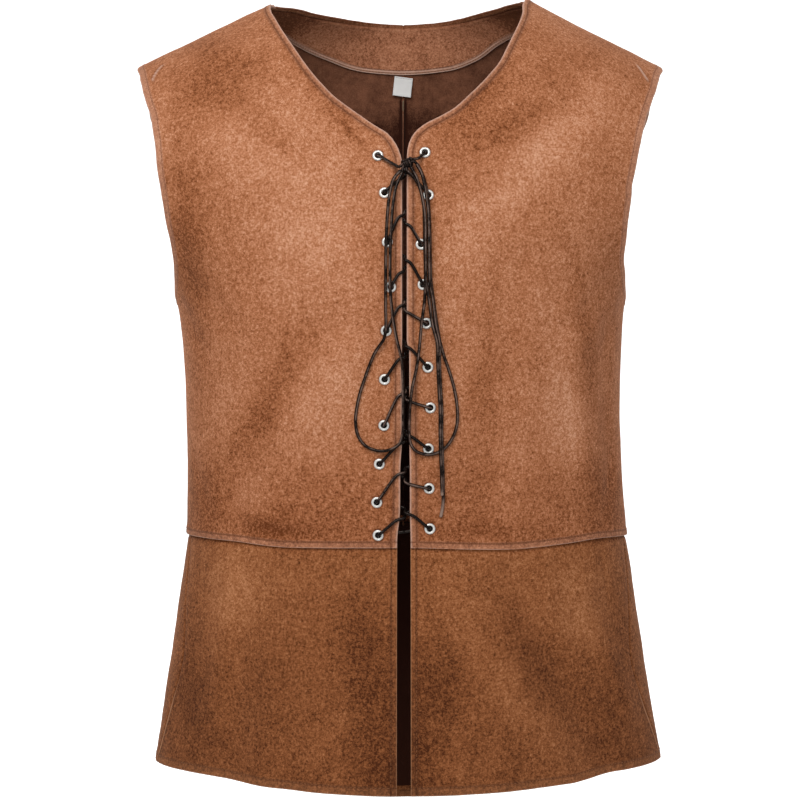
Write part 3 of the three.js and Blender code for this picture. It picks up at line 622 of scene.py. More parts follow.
def shell(name, outer, inner, keep, materials, inside, attributes, seal=True):
    """A closed thin shell from two grids; keep says which cells are cloth, and inside gives the inner cells' material."""
    rows, cols = outer.shape[:2]
    index = np.arange(rows * cols).reshape(rows, cols)
    off = rows * cols
    i, j = np.nonzero(keep)
    front = np.stack([index[i, j], index[i + 1, j], index[i + 1, j + 1], index[i, j + 1]], 1)
    back = np.stack([index[i, j], index[i, j + 1], index[i + 1, j + 1], index[i + 1, j]], 1) + off
    padded = np.zeros((rows + 1, cols + 1), bool)
    padded[1:-1, 1:-1] = keep
    rim = []
    here, above = padded[1:, 1:-1], padded[:-1, 1:-1]
    r, c = np.nonzero(here & ~above)
    rim.append(np.stack([index[r, c], index[r, c + 1], index[r, c + 1] + off, index[r, c] + off], 1))
    r, c = np.nonzero(~here & above)
    rim.append(np.stack([index[r, c + 1], index[r, c], index[r, c] + off, index[r, c + 1] + off], 1))
    here, before = padded[1:-1, 1:], padded[1:-1, :-1]
    r, c = np.nonzero(here & ~before)
    rim.append(np.stack([index[r + 1, c], index[r, c], index[r, c] + off, index[r + 1, c] + off], 1))
    r, c = np.nonzero(~here & before)
    rim.append(np.stack([index[r, c], index[r + 1, c], index[r + 1, c] + off, index[r, c] + off], 1))
    rim = np.concatenate(rim)
    faces = np.concatenate([front, back, rim])
    kinds = np.concatenate([np.zeros(len(front), int), inside[i, j], np.zeros(len(rim), int)])
    points = np.concatenate([outer.reshape(-1, 3), inner.reshape(-1, 3)])
    used, faces = np.unique(faces, return_inverse=True)
    faces = faces.reshape(-1, 4)
    values = {k: np.concatenate([v.ravel(), v.ravel()])[used] for k, v in attributes.items()}
    # outward faces
    p = points[used]
    q = p[faces[: len(front)]]
    facing = dot(np.cross(q[:, 1] - q[:, 0], q[:, 3] - q[:, 0]), values["nx"][faces[: len(front), 0]][:, None] * [1, 0, 0]
                 + values["ny"][faces[: len(front), 0]][:, None] * [0, 1, 0] + values["nz"][faces[: len(front), 0]][:, None] * [0, 0, 1])
    if facing.sum() < 0:
        faces = faces[:, ::-1]
    for k in ("nx", "ny", "nz"):
        values.pop(k)
    return new_object(name, p, faces, materials, kinds, values)


# -------------------------------------------------------------- panel grids
def surface(angle, z):
    return bare(angle, dipped(angle, z))


def metric(angle, z):
    e = 0.25
    return (
        (surface(angle + e, z) - surface(angle - e, z)) / (2 * e),
        (surface(angle, z + e) - surface(angle, z - e)) / (2 * e),
    )


class Edge:
    """A line on the form, evenly sampled, with the direction across it into the panel."""

    def __init__(self, angle, z, side, blur=25.0, pitch=0.8):
        angle, z = np.asarray(angle, float), np.asarray(z, float)
        p = surface(angle, z)
        s = np.concatenate([[0], np.cumsum(np.linalg.norm(np.diff(p, axis=0), axis=1))])
        self.length = s[-1]
        n = max(int(self.length / pitch), 8)
        self.s = np.linspace(0, self.length, n)
        self.a, self.z = np.interp(self.s, s, angle), np.interp(self.s, s, z)
        self.p = surface(self.a, self.z)
        ta, tz = np.gradient(self.a, self.s), np.gradient(self.z, self.s)
        pa, pz = metric(self.a, self.z)
        t = unit(pa * ta[:, None] + pz * tz[:, None])
        across = np.cross(outward(self.a, dipped(self.a, self.z)), t)
        ba, bz = self._solve(pa, pz, across)
        tail = slice(int(n * 0.85), n)
        if ba[tail].sum() * side < 0:
            ba, bz, across = -ba, -bz, -across
        self.ba, self.bz, self.across = ba, bz, across
        # the smoothed direction that the rows leave along
        ma, mz = np.linalg.norm(pa, axis=1), np.linalg.norm(pz, axis=1)
        w = np.exp(-(((self.s[:, None] - self.s[None]) / blur) ** 2))
        w /= w.sum(1, keepdims=True)
        sa, sz = (w @ (ba * ma)) / ma, (w @ (bz * mz)) / mz
        size = np.maximum(np.linalg.norm(pa * sa[:, None] + pz * sz[:, None], axis=1), 1e-6)
        self.sa, self.sz = sa / size, sz / size

    @staticmethod
    def _solve(pa, pz, v):
        g11, g12, g22 = dot(pa, pa), dot(pa, pz), dot(pz, pz)
        r1, r2 = dot(pa, v), dot(pz, v)
        d = g11 * g22 - g12 * g12
        return (r1 * g22 - r2 * g12) / d, (r2 * g11 - r1 * g12) / d

    def at(self, s):
        return [np.interp(s, self.s, q) for q in (self.a, self.z, self.sa, self.sz)]


def spaced(total, first, last, pitch):
    """Distances from 0 to total with its own close spacing at both ends."""
    first, last = np.array(first, float), np.array(last, float)
    middle = total - first[-1] - last[-1]
    n = max(int(round(middle / pitch)), 2)
    return np.concatenate([first[:-1], first[-1] + np.linspace(0, middle, n + 1), total - last[::-1][1:]])


def panel_grid(left, right, top, bottom, first, last, middle, rows_first, rows_last, pitch, reach_top=70, reach_bottom=30, pull=0.55):
    """Grid of (angle, z) between four lines: rows leave the side lines at right angles, as far apart as first and last say."""
    mean = (left.length + right.length) / 2
    v = spaced(mean, rows_first, rows_last, pitch) / mean
    a0, z0, sa0, sz0 = left.at(v * left.length)
    a1, z1, sa1, sz1 = right.at(v * right.length)
    chord = np.linalg.norm(surface(a1, z1) - surface(a0, z0), axis=1)
    k = chord * pull
    t = np.linspace(0, 1, 141)[None]
    h00, h10, h01, h11 = 2 * t**3 - 3 * t**2 + 1, t**3 - 2 * t**2 + t, 3 * t**2 - 2 * t**3, t**3 - t**2
    ra = h00 * a0[:, None] + h10 * (k * sa0)[:, None] + h01 * a1[:, None] - h11 * (k * sa1)[:, None]
    rz = h00 * z0[:, None] + h10 * (k * sz0)[:, None] + h01 * z1[:, None] - h11 * (k * sz1)[:, None]

    first, last = np.array(first, float), np.array(last, float)

    def place(a, z):
        p = surface(a, z)
        s = np.concatenate([[0], np.cumsum(np.linalg.norm(np.diff(p, axis=0), axis=1))])
        total = s[-1]
        d = np.concatenate([first, np.linspace(first[-1], total - last[-1], middle + 2)[1:-1], total - last[::-1]])
        return np.interp(d, s, a), np.interp(d, s, z)

    ga, gz = np.array([place(ra[i], rz[i]) for i in range(len(v))]).transpose(1, 0, 2)

    def line(points):
        a, z = np.asarray(points[0], float), np.asarray(points[1], float)
        return place(a, z)

    ta, tz = line(top)
    ba, bz = line(bottom)
    wt = 1 - step(v * mean / reach_top)
    wb = 1 - step((1 - v) * mean / reach_bottom)
    ga = ga + wt[:, None] * (ta - ga[0])[None] + wb[:, None] * (ba - ga[-1])[None]
    gz = gz + wt[:, None] * (tz - gz[0])[None] + wb[:, None] * (bz - gz[-1])[None]
    # cells that turn over
    ca = (ga[1:, :-1] - ga[:-1, :-1]) * (gz[:-1, 1:] - gz[:-1, :-1]) - (gz[1:, :-1] - gz[:-1, :-1]) * (ga[:-1, 1:] - ga[:-1, :-1])
    bad = int(min((ca > 0).sum(), (ca < 0).sum()))
    return ga, gz, bad


def distance(points, line):
    """Distance of each grid point to a line, and the nearest place on it."""
    tree = kdtree.KDTree(len(line))
    for n, p in enumerate(line):
        tree.insert(p, n)
    tree.balance()
    flat = points.reshape(-1, 3)
    found = [tree.find(p) for p in flat.tolist()]
    d = np.array([f[2] for f in found]).reshape(points.shape[:-1])
    n = np.array([f[1] for f in found]).reshape(points.shape[:-1])
    return d, n


def rounded(d, r):
    x = np.clip(1 - d / r, 0, 1)
    return -(1 - np.sqrt(1 - x * x))


def nap_and_painted_shade(angle, z, points):
    """Shade of the suede at each point: its own uneven tone, painted light and shade of the folds and sides, and
    painted shade lower down.
    """
    wobble = 9 * np.stack([noise(points / 33 + 11), noise(points / 33 + 23)], -1) + 4 * np.stack(
        [noise(points / 13 + 31), noise(points / 13 + 43)], -1
    )
    total = np.zeros(points.shape[:-1])
    front = points[..., 1] < 15
    for x, cz, long, wide, lean, shade in zip(*(NAP_AND_SHADE_FRONT[k] for k in ("x", "z", "long", "wide", "lean", "shade"))):
        dx, dz = points[..., 0] + wobble[..., 0] - x, points[..., 2] + wobble[..., 1] - cz
        c, s = math.cos(math.radians(lean)), math.sin(math.radians(lean))
        u, w = dx * c + dz * s, -dx * s + dz * c
        total += np.where(front, shade * np.exp(-((u / wide) ** 2) - (w / long) ** 2), 0)
    for a, cz, long, wide, lean, shade in zip(*(NAP_AND_SHADE_BACK[k] for k in ("angle", "z", "long", "wide", "lean", "shade"))):
        dx, dz = (np.where(angle < 0, angle + 360, angle) - a) * 3.2 + wobble[..., 0], points[..., 2] + wobble[..., 1] - cz
        c, s = math.cos(math.radians(lean)), math.sin(math.radians(lean))
        u, w = dx * c + dz * s, -dx * s + dz * c
        total += shade * np.exp(-((u / wide) ** 2) - (w / long) ** 2) * step((points[..., 1] + 10) / 40)
    # painted shade: darker down the skirt, in a band above the waist seam and at the skirt's centre front beside the
    # opening
    low = step((-500 - points[..., 2]) / 190)
    waist = step((-395 - points[..., 2]) / 60) * step((points[..., 2] + 497) / 6)
    return 1.45 * total - 0.115 * low - 0.155 * waist - 0.21 * low * np.exp(-((points[..., 0] / 34) ** 2)) * front


# ---------------------------------------------------------------- materials
def linear(code):
    out = []
    for n in (0, 2, 4):
        c = int(code[n : n + 2], 16) / 255
        out.append(c / 12.92 if c <= 0.04045 else ((c + 0.055) / 1.055) ** 2.4)
    return (*out, 1.0)


class Nodes:
    def __init__(self, name):
        self.material = bpy.data.materials.new(name)
        self.material.use_nodes = True
        self.tree = self.material.node_tree
        self.tree.nodes.clear()
        self.out = self.new("ShaderNodeOutputMaterial")
        self.shader = self.new("ShaderNodeBsdfPrincipled")
        self.link(self.shader.outputs["BSDF"], self.out.inputs["Surface"])
        self.space = self.new("ShaderNodeTexCoord").outputs["Object"]

    def new(self, kind, **settings):
        node = self.tree.nodes.new(kind)
        for k, v in settings.items():
            setattr(node, k, v)
        return node

    def link(self, a, b):
        self.tree.links.new(a, b)

    def put(self, value, socket):
        if isinstance(value, bpy.types.NodeSocket):
            self.link(value, socket)
        else:
            socket.default_value = value

    def set(self, **values):
        for k, v in values.items():
            self.shader.inputs[k.replace("_", " ")].default_value = v

    def noise(self, scale, detail=2.0, rough=0.5, distortion=0.0, space=None, stretch=None):
        space = space or self.space
        if stretch:
            m = self.new("ShaderNodeMapping")
            m.inputs["Scale"].default_value = stretch
            self.link(space, m.inputs["Vector"])
            space = m.outputs["Vector"]
        n = self.new("ShaderNodeTexNoise")
        n.inputs["Scale"].default_value = scale
        n.inputs["Detail"].default_value = detail
        n.inputs["Roughness"].default_value = rough
        n.inputs["Distortion"].default_value = distortion
        self.link(space, n.inputs["Vector"])
        return n.outputs["Fac"]

    def math(self, kind, a, b=0.0, c=0.0, clamp=False):
        n = self.new("ShaderNodeMath", operation=kind, use_clamp=clamp)
        for s, v in zip(n.inputs, (a, b, c)):
            self.put(v, s)
        return n.outputs[0]

    def attribute(self, name):
        return self.new("ShaderNodeAttribute", attribute_name=name).outputs["Fac"]

    def ramp(self, value, stops):
        n = self.new("ShaderNodeValToRGB")
        e = n.color_ramp.elements
        while len(e) < len(stops):
            e.new(0.5)
        for s, (at, colour) in zip(e, stops):
            s.position = at
            s.color = colour
        self.link(value, n.inputs["Fac"])
        return n.outputs["Color"]

    def mix(self, fac, a, b, blend="MIX"):
        n = self.new("ShaderNodeMix", data_type="RGBA", blend_type=blend)
        self.put(fac, n.inputs["Factor"])
        self.put(a, n.inputs[6])
        self.put(b, n.inputs[7])
        return n.outputs[2]

    def range(self, value, a, b, to=(0.0, 1.0), smooth=True):
        n = self.new("ShaderNodeMapRange", interpolation_type="SMOOTHSTEP" if smooth else "LINEAR")
        self.put(value, n.inputs["Value"])
        for k, v in zip(("From Min", "From Max", "To Min", "To Max"), (a, b, *to)):
            n.inputs[k].default_value = v
        return n.outputs["Result"]

    def bump(self, height, strength, reach, normal=None):
        n = self.new("ShaderNodeBump")
        n.inputs["Strength"].default_value = strength
        n.inputs["Distance"].default_value = reach
        self.link(height, n.inputs["Height"])
        if normal is not None:
            self.link(normal, n.inputs["Normal"])
        return n.outputs["Normal"]


def suede(name, stops, rim, sheen):
    n = Nodes(name)
    big = n.noise(9, 2, 0.55, 0.4)
    middle = n.noise(38, 3, 0.62, 0.6)
    small = n.noise(150, 4, 0.70, 0.3)
    speck = n.noise(420, 2, 0.66, 0.2)
    streak = n.noise(60, 3, 0.6, 0.6, stretch=(2.6, 2.6, 0.9))
    grain = n.noise(820, 3, 0.80)
    tone = n.math("ADD", n.attribute("shade"), 0.5)
    for value, weight in ((big, 0.28), (middle, 0.20), (streak, 0.24), (small, 0.30), (speck, 1.05), (grain, 1.20)):
        tone = n.math("MULTIPLY_ADD", n.math("SUBTRACT", value, 0.5), weight, tone)
    colour = n.ramp(tone, stops)
    edge = n.attribute("edge")
    # painted light: the band attribute lightens raised strips and ridges, and the edge attribute gives a painted
    # highlight along folded edges, both towards the rim colour and varied by noise
    uneven = n.math("ADD", n.math("MULTIPLY", small, 0.7), 0.40)
    colour = n.mix(n.math("MULTIPLY", n.attribute("band"), n.math("MULTIPLY", uneven, 0.34), clamp=True), colour, rim)
    wear_and_highlight = n.math("MULTIPLY", n.range(edge, 1.7, 0.2), uneven, clamp=True)
    colour = n.mix(wear_and_highlight, colour, rim)
    # the groove attribute darkens stitch and seam lines, their own dark, and adds painted shade round the eyelets,
    # beside the front-edge stitching, along edges without a highlight and along the facing's top edge
    groove = n.attribute("groove")
    colour = n.mix(n.math("MULTIPLY", groove, 0.62, clamp=True), colour, tuple(c * k for c, k in zip(stops[0][1][:3], (0.52, 0.36, 0.24))) + (1.0,))
    n.link(colour, n.shader.inputs["Base Color"])
    n.set(Roughness=0.93, Sheen_Weight=sheen, Sheen_Roughness=0.55)
    n.shader.inputs["Specular IOR Level"].default_value = 0.12
    n.shader.inputs["Sheen Tint"].default_value = (0.95, 0.62, 0.42, 1)
    height = n.math("MULTIPLY_ADD", grain, 0.5, small)
    normal = n.bump(height, 0.34, 0.0007)
    n.link(normal, n.shader.inputs["Normal"])
    return n.material


def wrong_side(name, dark, light):
    n = Nodes(name)
    rib = n.new("ShaderNodeTexWave", wave_type="BANDS", bands_direction="X", wave_profile="SIN")
    rib.inputs["Scale"].default_value = 290
    rib.inputs["Distortion"].default_value = 1.2
    rib.inputs["Detail"].default_value = 2
    rib.inputs["Detail Scale"].default_value = 2.5
    n.link(n.space, rib.inputs["Vector"])
    small, grain, big = n.noise(120, 4, 0.65), n.noise(800, 2, 0.7), n.noise(14, 2, 0.5)
    tone = n.math("MULTIPLY_ADD", n.math("SUBTRACT", small, 0.5), 0.75, 0.5)
    tone = n.math("MULTIPLY_ADD", n.math("SUBTRACT", grain, 0.5), 0.6, tone)
    tone = n.math("MULTIPLY_ADD", n.math("SUBTRACT", big, 0.5), 0.5, tone)
    tone = n.math("MULTIPLY_ADD", n.math("SUBTRACT", rib.outputs["Fac"], 0.5), 0.22, tone)
    # the seam ridge's thread and painted shade, and the painted light and shade inside the vest, shift the tone
    tone = n.math("MULTIPLY_ADD", n.attribute("ridge"), 0.9, n.math("ADD", tone, n.attribute("inside")))
    n.link(n.ramp(tone, [(0.15, dark), (0.85, light), (1.0, linear("8d7f66"))]), n.shader.inputs["Base Color"])
    n.set(Roughness=0.95, Sheen_Weight=0.04)
    n.shader.inputs["Specular IOR Level"].default_value = 0.1
    height = n.math("MULTIPLY_ADD", rib.outputs["Fac"], 0.5, grain)
    n.link(n.bump(height, 0.35, 0.0005), n.shader.inputs["Normal"])
    return n.material


BODICE_SUEDE = suede(
    "suede_bodice",
    [(0.10, linear("6b3719")), (0.40, linear("a66641")), (0.62, linear("c2815c")), (0.95, linear("e2ab8b"))],
    linear("d3ab98"),
    0.10,
)
SKIRT_SUEDE = suede(
    "suede_skirt",
    [(0.10, linear("4c2510")), (0.40, linear("88502d")), (0.62, linear("a3663f")), (0.95, linear("c98c62"))],
    linear("b5825f"),
    0.10,
)
# a lighter copy of the bodice suede for the facing down inside the neck: painted light
FACING_SUEDE = suede(
    "suede_facing",
    [(0.10, linear("74442b")), (0.40, linear("b57655")), (0.62, linear("ca8c69")), (0.95, linear("e2ab89"))],
    linear("ecc9b6"),
    0.08,
)
INSIDE = wrong_side("suede_wrong_side", linear("35190f"), linear("96634a"))


def thread(name, dark, light):
    n = Nodes(name)
    fibre = n.noise(1500, 2, 0.6)
    n.link(n.ramp(fibre, [(0.3, dark), (0.7, light)]), n.shader.inputs["Base Color"])
    n.set(Roughness=0.6)
    n.shader.inputs["Specular IOR Level"].default_value = 0.35
    n.link(n.bump(fibre, 0.3, 0.0002), n.shader.inputs["Normal"])
    return n.material


THREAD = thread("thread_brown", linear("7f4a28"), linear("a2673f"))
THREAD_WHITE = thread("thread_white", linear("c9c9c5"), linear("eeeeea"))


def metal(name):
    n = Nodes(name)
    wear_and_highlight, fine = n.noise(420, 3, 0.6), n.noise(2600, 2, 0.6)
    n.link(n.ramp(wear_and_highlight, [(0.25, linear("dcdbd6")), (0.6, linear("f6f5f1"))]), n.shader.inputs["Base Color"])
    n.link(n.range(wear_and_highlight, 0.3, 0.8, (0.42, 0.24)), n.shader.inputs["Roughness"])
    n.set(Metallic=0.42)
    n.link(n.bump(fine, 0.08, 0.0001), n.shader.inputs["Normal"])
    return n.material


METAL = metal("eyelet_nickel")


def wax_cord(name):
    n = Nodes(name)
    uv = n.new("ShaderNodeUVMap", uv_map="UVMap").outputs["UV"]
    split = n.new("ShaderNodeSeparateXYZ")
    n.link(uv, split.inputs["Vector"])
    # u is the length in millimetres, v once round
    a = n.math("SINE", n.math("MULTIPLY_ADD", split.outputs["Y"], 4 * 2 * math.pi, n.math("MULTIPLY", split.outputs["X"], 2.6)))
    b = n.math("SINE", n.math("MULTIPLY_ADD", split.outputs["Y"], -4 * 2 * math.pi, n.math("MULTIPLY", split.outputs["X"], 2.6)))
    braid = n.math("MULTIPLY_ADD", n.math("MAXIMUM", a, b), 0.5, 0.5)
    wear, fine = n.noise(190, 3, 0.6), n.noise(1700, 2, 0.65)
    tone = n.math("MULTIPLY_ADD", n.math("SUBTRACT", wear, 0.5), 0.8, n.math("MULTIPLY", braid, 0.55))
    tone = n.math("MULTIPLY_ADD", n.math("SUBTRACT", fine, 0.5), 0.5, tone)
    colour = n.ramp(tone, [(0.0, linear("050202")), (0.5, linear("0e0705")), (1.0, linear("241510"))])
    # painted highlight: lighter along the side that lies outward, broken up by noise
    outer = n.range(n.math("ABSOLUTE", n.math("SUBTRACT", n.math("FRACT", n.math("ADD", split.outputs["Y"], 0.03)), 0.5)), 0.385, 0.475)
    patchy = n.math("MULTIPLY", n.range(n.noise(95, 3, 0.62), 0.38, 0.62), n.math("SUBTRACT", 1.0, n.attribute("behind")))
    colour = n.mix(n.math("MULTIPLY", n.math("MULTIPLY", outer, n.math("ADD", n.math("MULTIPLY", fine, 0.8), 0.15)), patchy, clamp=True), colour, linear("957a6e"))
    colour = n.mix(n.math("MULTIPLY", n.attribute("tip"), n.math("ADD", fine, 0.35), clamp=True), colour, linear("a48a7c"))
    n.link(colour, n.shader.inputs["Base Color"])
    n.link(n.range(wear, 0.3, 0.75, (0.22, 0.40)), n.shader.inputs["Roughness"])
    n.shader.inputs["Specular IOR Level"].default_value = 0.24
    n.shader.inputs["Specular Tint"].default_value = (1.0, 0.84, 0.76, 1)
    height = n.math("MULTIPLY_ADD", fine, 0.4, braid)
    n.link(n.bump(height, 0.16, 0.00025), n.shader.inputs["Normal"])
    return n.material


LACE = wax_cord("lace_waxed")


def label_cloth(name):
    n = Nodes(name)
    weave = n.new("ShaderNodeTexWave", wave_type="BANDS", bands_direction="Z", wave_profile="SIN")
    weave.inputs["Scale"].default_value = 800
    weave.inputs["Distortion"].default_value = 0.6
    n.link(n.space, weave.inputs["Vector"])
    soft = n.noise(90, 3, 0.6)
    tone = n.math("MULTIPLY_ADD", weave.outputs["Fac"], 0.25, n.math("MULTIPLY", soft, 0.75))
    n.link(n.ramp(tone, [(0.2, linear("f0f0ee")), (0.7, linear("fcfcfb"))]), n.shader.inputs["Base Color"])
    n.set(Roughness=0.55, Sheen_Weight=0.1)
    n.link(n.bump(weave.outputs["Fac"], 0.2, 0.0002), n.shader.inputs["Normal"])
    return n.material


LABEL = label_cloth("label_tape")


# ------------------------------------------------------------------ cords
def catmull(points, per):
    """Centripetal curve through the points, `per` steps to a span."""
    points = np.asarray(points, float)
    ends = np.concatenate([[2 * points[0] - points[1]], points, [2 * points[-1] - points[-2]]])
    p0, p1, p2, p3 = ends[:-3], ends[1:-2], ends[2:-1], ends[3:]
    d0, d1, d2 = (np.maximum(np.linalg.norm(b - a, axis=1), 1e-6) ** 0.5 for a, b in ((p0, p1), (p1, p2), (p2, p3)))
    d0, d1, d2 = d0[:, None], d1[:, None], d2[:, None]
    t1 = ((p1 - p0) / d0 - (p2 - p0) / (d0 + d1) + (p2 - p1) / d1) * d1
    t2 = ((p2 - p1) / d1 - (p3 - p1) / (d1 + d2) + (p3 - p2) / d2) * d1
    t = (np.arange(per) / per)[None, :, None]
    p1, p2, t1, t2 = (q[:, None] for q in (p1, p2, t1, t2))
    out = p1 + t * t1 + t**2 * (-3 * p1 + 3 * p2 - 2 * t1 - t2) + t**3 * (2 * p1 - 2 * p2 + t1 + t2)
    return np.concatenate([out.reshape(-1, 3), points[-1:]])


def even(points, pitch):
    s = np.concatenate([[0], np.cumsum(np.linalg.norm(np.diff(points, axis=0), axis=1))])
    n = max(int(round(s[-1] / pitch)), 3)
    d = np.linspace(0, s[-1], n + 1)
    return np.stack([np.interp(d, s, points[:, k]) for k in range(3)], 1), s[-1]


def tube(points, radius, sides=12, closed=False, ends=True):
    """Vertices, quads and per-corner UV of a round tube along evenly spaced points."""
    n = len(points)
    t = unit(np.gradient(points, axis=0))
    up = np.array([0.0, -1.0, 0.0])
    frames = []
    v = unit(up - t[0] * dot(up, t[0]))
    for k in range(n):
        v = unit(v - t[k] * dot(v, t[k]))
        frames.append(v)
    v = np.array(frames)
    w = np.cross(t, v)
    a = np.arange(sides) / sides * 2 * math.pi
    radius = np.broadcast_to(radius, (n,))
    rings = points[:, None] + radius[:, None, None] * (np.cos(a)[None, :, None] * v[:, None] + np.sin(a)[None, :, None] * w[:, None])
    verts = rings.reshape(-1, 3)
    s = np.concatenate([[0], np.cumsum(np.linalg.norm(np.diff(points, axis=0), axis=1))])
    i, j = np.meshgrid(np.arange(n - 1), np.arange(sides), indexing="ij")
    i, j = i.ravel(), j.ravel()
    k = (j + 1) % sides
    faces = np.stack([i * sides + j, i * sides + k, (i + 1) * sides + k, (i + 1) * sides + j], 1)
    uv = np.stack([np.stack([s[i], j / sides], 1), np.stack([s[i], (j + 1) / sides], 1), np.stack([s[i + 1], (j + 1) / sides], 1), np.stack([s[i + 1], j / sides], 1)], 1)
    extra = []
    if ends:
        for ring, at, out, flip in ((0, points[0], -t[0], True), (n - 1, points[-1], t[-1], False)):
            base = len(verts)
            inner = at + (rings[ring] - at) * 0.62 + out * radius[ring] * 0.42
            verts = np.concatenate([verts, inner, (at + out * radius[ring] * 0.55)[None]])
            for q in range(sides):
                r = (q + 1) % sides
                a1, a2, b1, b2, c = ring * sides + q, ring * sides + r, base + q, base + r, base + sides
                extra += [[a2, a1, b1, b2], [b2, b1, c, c]] if flip else [[a1, a2, b2, b1], [b1, b2, c, c]]
    quads = [list(f) for f in faces]
    uvs = [list(map(list, u)) for u in uv]
    for f in extra:
        f = f if f[2] != f[3] else f[:3]
        quads.append(f)
        uvs.append([[0.0, 0.25]] * len(f))
    return verts, quads, uvs


def cord_object(name, points, nodes, sides=12, worn_tip=0.0):
    line, length = even(catmull(points, 14), 1.1)
    verts, faces, uvs = tube(line, CORD_RADIUS, sides)
    flat = [c for face in uvs for c in face]
    left_over = length - np.linspace(0, length, len(line))
    tip = np.repeat(step(1 - left_over / max(worn_tip, 1e-3)) * (worn_tip > 0), sides)
    tip = np.concatenate([tip, np.full(len(verts) - len(tip), 0.0)])
    tip[len(line) * sides + sides + 1:] = 1.0 * (worn_tip > 0)
    # where each stretch lies behind the front of the cloth; the cord's painted highlight is left off there
    base = on_front(line[:, 0], line[:, 2], np.zeros(len(line)))
    behind = np.repeat(step((-0.3 - (base[:, 1] - line[:, 1])) / 1.5), sides)
    behind = np.concatenate([behind, np.zeros(len(verts) - len(behind))])
    obj = new_object(name, verts, faces, [LACE], attributes={"tip": tip, "behind": behind}, uv=flat)
    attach(obj, "root")
    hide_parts(*nodes)
    return obj, line, length


def eyelet_at(row, side):
    sign = 1 if side == "left" else -1
    return np.array([sign * EYELETS[side][row - 1], EYELETS[side + "Z"][row - 1]])


def other(side):
    return "right" if side == "left" else "left"


def opening(z):
    left, right = float(front_edge["left"](z)), -float(front_edge["right"](z))
    return (left + right) / 2, (left - right) / 2


def strand(first, lag, last):
    """The lacing strand from the hidden bar at the bottom, through an eyelet of each row in turn, to the knot."""
    sign = 1 if first == "left" else -1
    points = []

    def put(v, out):
        points.append(on_front(v[0], v[1], out))

    side = first
    bottom = eyelet_at(10, first)
    mid = opening(bottom[1])[0]
    bar = (eyelet_at(10, "left")[1] + eyelet_at(10, "right")[1]) / 2
    put((mid + sign * 0.15, bar), -3.7)
    put((mid + (bottom[0] - mid) * 0.4, bar + (bottom[1] - bar) * 0.4), -3.8)
    for along, out in GOING_IN:
        put((bottom[0] - sign * along, bottom[1]), out)
    for row in range(10, 0, -1):
        e = eyelet_at(row, side)
        put(e, -0.9)
        if row == 1:
            away = np.array([last[0], last[1]]) - e
            away = away / np.linalg.norm(away)
            for along, out in COMING_OUT:
                put(e + away * along, out)
            put((last[0], last[1]), last[2])
            break
        s = 1 if side == "left" else -1
        following = eyelet_at(row - 1, other(side))
        cross = e[1] + (following[1] - e[1]) * 0.52 + lag
        middle, gap = opening(cross)
        reach = max(gap - 1.9, 0)
        there = np.array([middle + s * (reach + 4.6), cross - 4])
        away = there - e
        far = np.linalg.norm(away)
        away = away / far
        for along, out in COMING_OUT:
            if along < far - 2.5:
                put(e + away * along, out)
        put(there, 2.3)
        put((middle + s * 0.3, cross - 1.6), 1.1)
        put((middle - s * 0.3, cross + 1.6), -2.9)
        beyond = np.array([middle - s * (reach + 4.6), cross + 4])
        put(beyond, -4.1)
        towards = following - beyond
        rest = np.linalg.norm(towards)
        towards = towards / rest
        for along, out in GOING_IN:
            if along < rest - 2.5:
                put(following - towards * along, out)
        side = other(side)
    return np.array(points)


def route(rows):
    return on_front(rows["x"], rows["z"], rows["out"])


strand_a, line_a, length_a = cord_object(
    "lace_strand_a", strand("left", 3.7, (KNOT["x"] - 8.4, KNOT["z"] - 2.6, 6.6)), ["lacing_strand_a"])
strand_b, line_b, length_b = cord_object(
    "lace_strand_b", strand("right", -3.7, (KNOT["x"] + 8.6, KNOT["z"] + 4.6, 6.6)), ["lacing_strand_b"])
loop_right, line_lr, length_lr = cord_object("lace_loop_right", route(LOOP_RIGHT), ["bow_loop_right"])
loop_left, line_ll, length_ll = cord_object("lace_loop_left", route(LOOP_LEFT), ["bow_loop_left"])
end_1, line_e1, length_e1 = cord_object("lace_free_end_1", route(END_1), ["lace_end_1"], worn_tip=20.0)
end_2, line_e2, length_e2 = cord_object("lace_free_end_2", route(END_2), ["lace_end_2"], worn_tip=5.0)


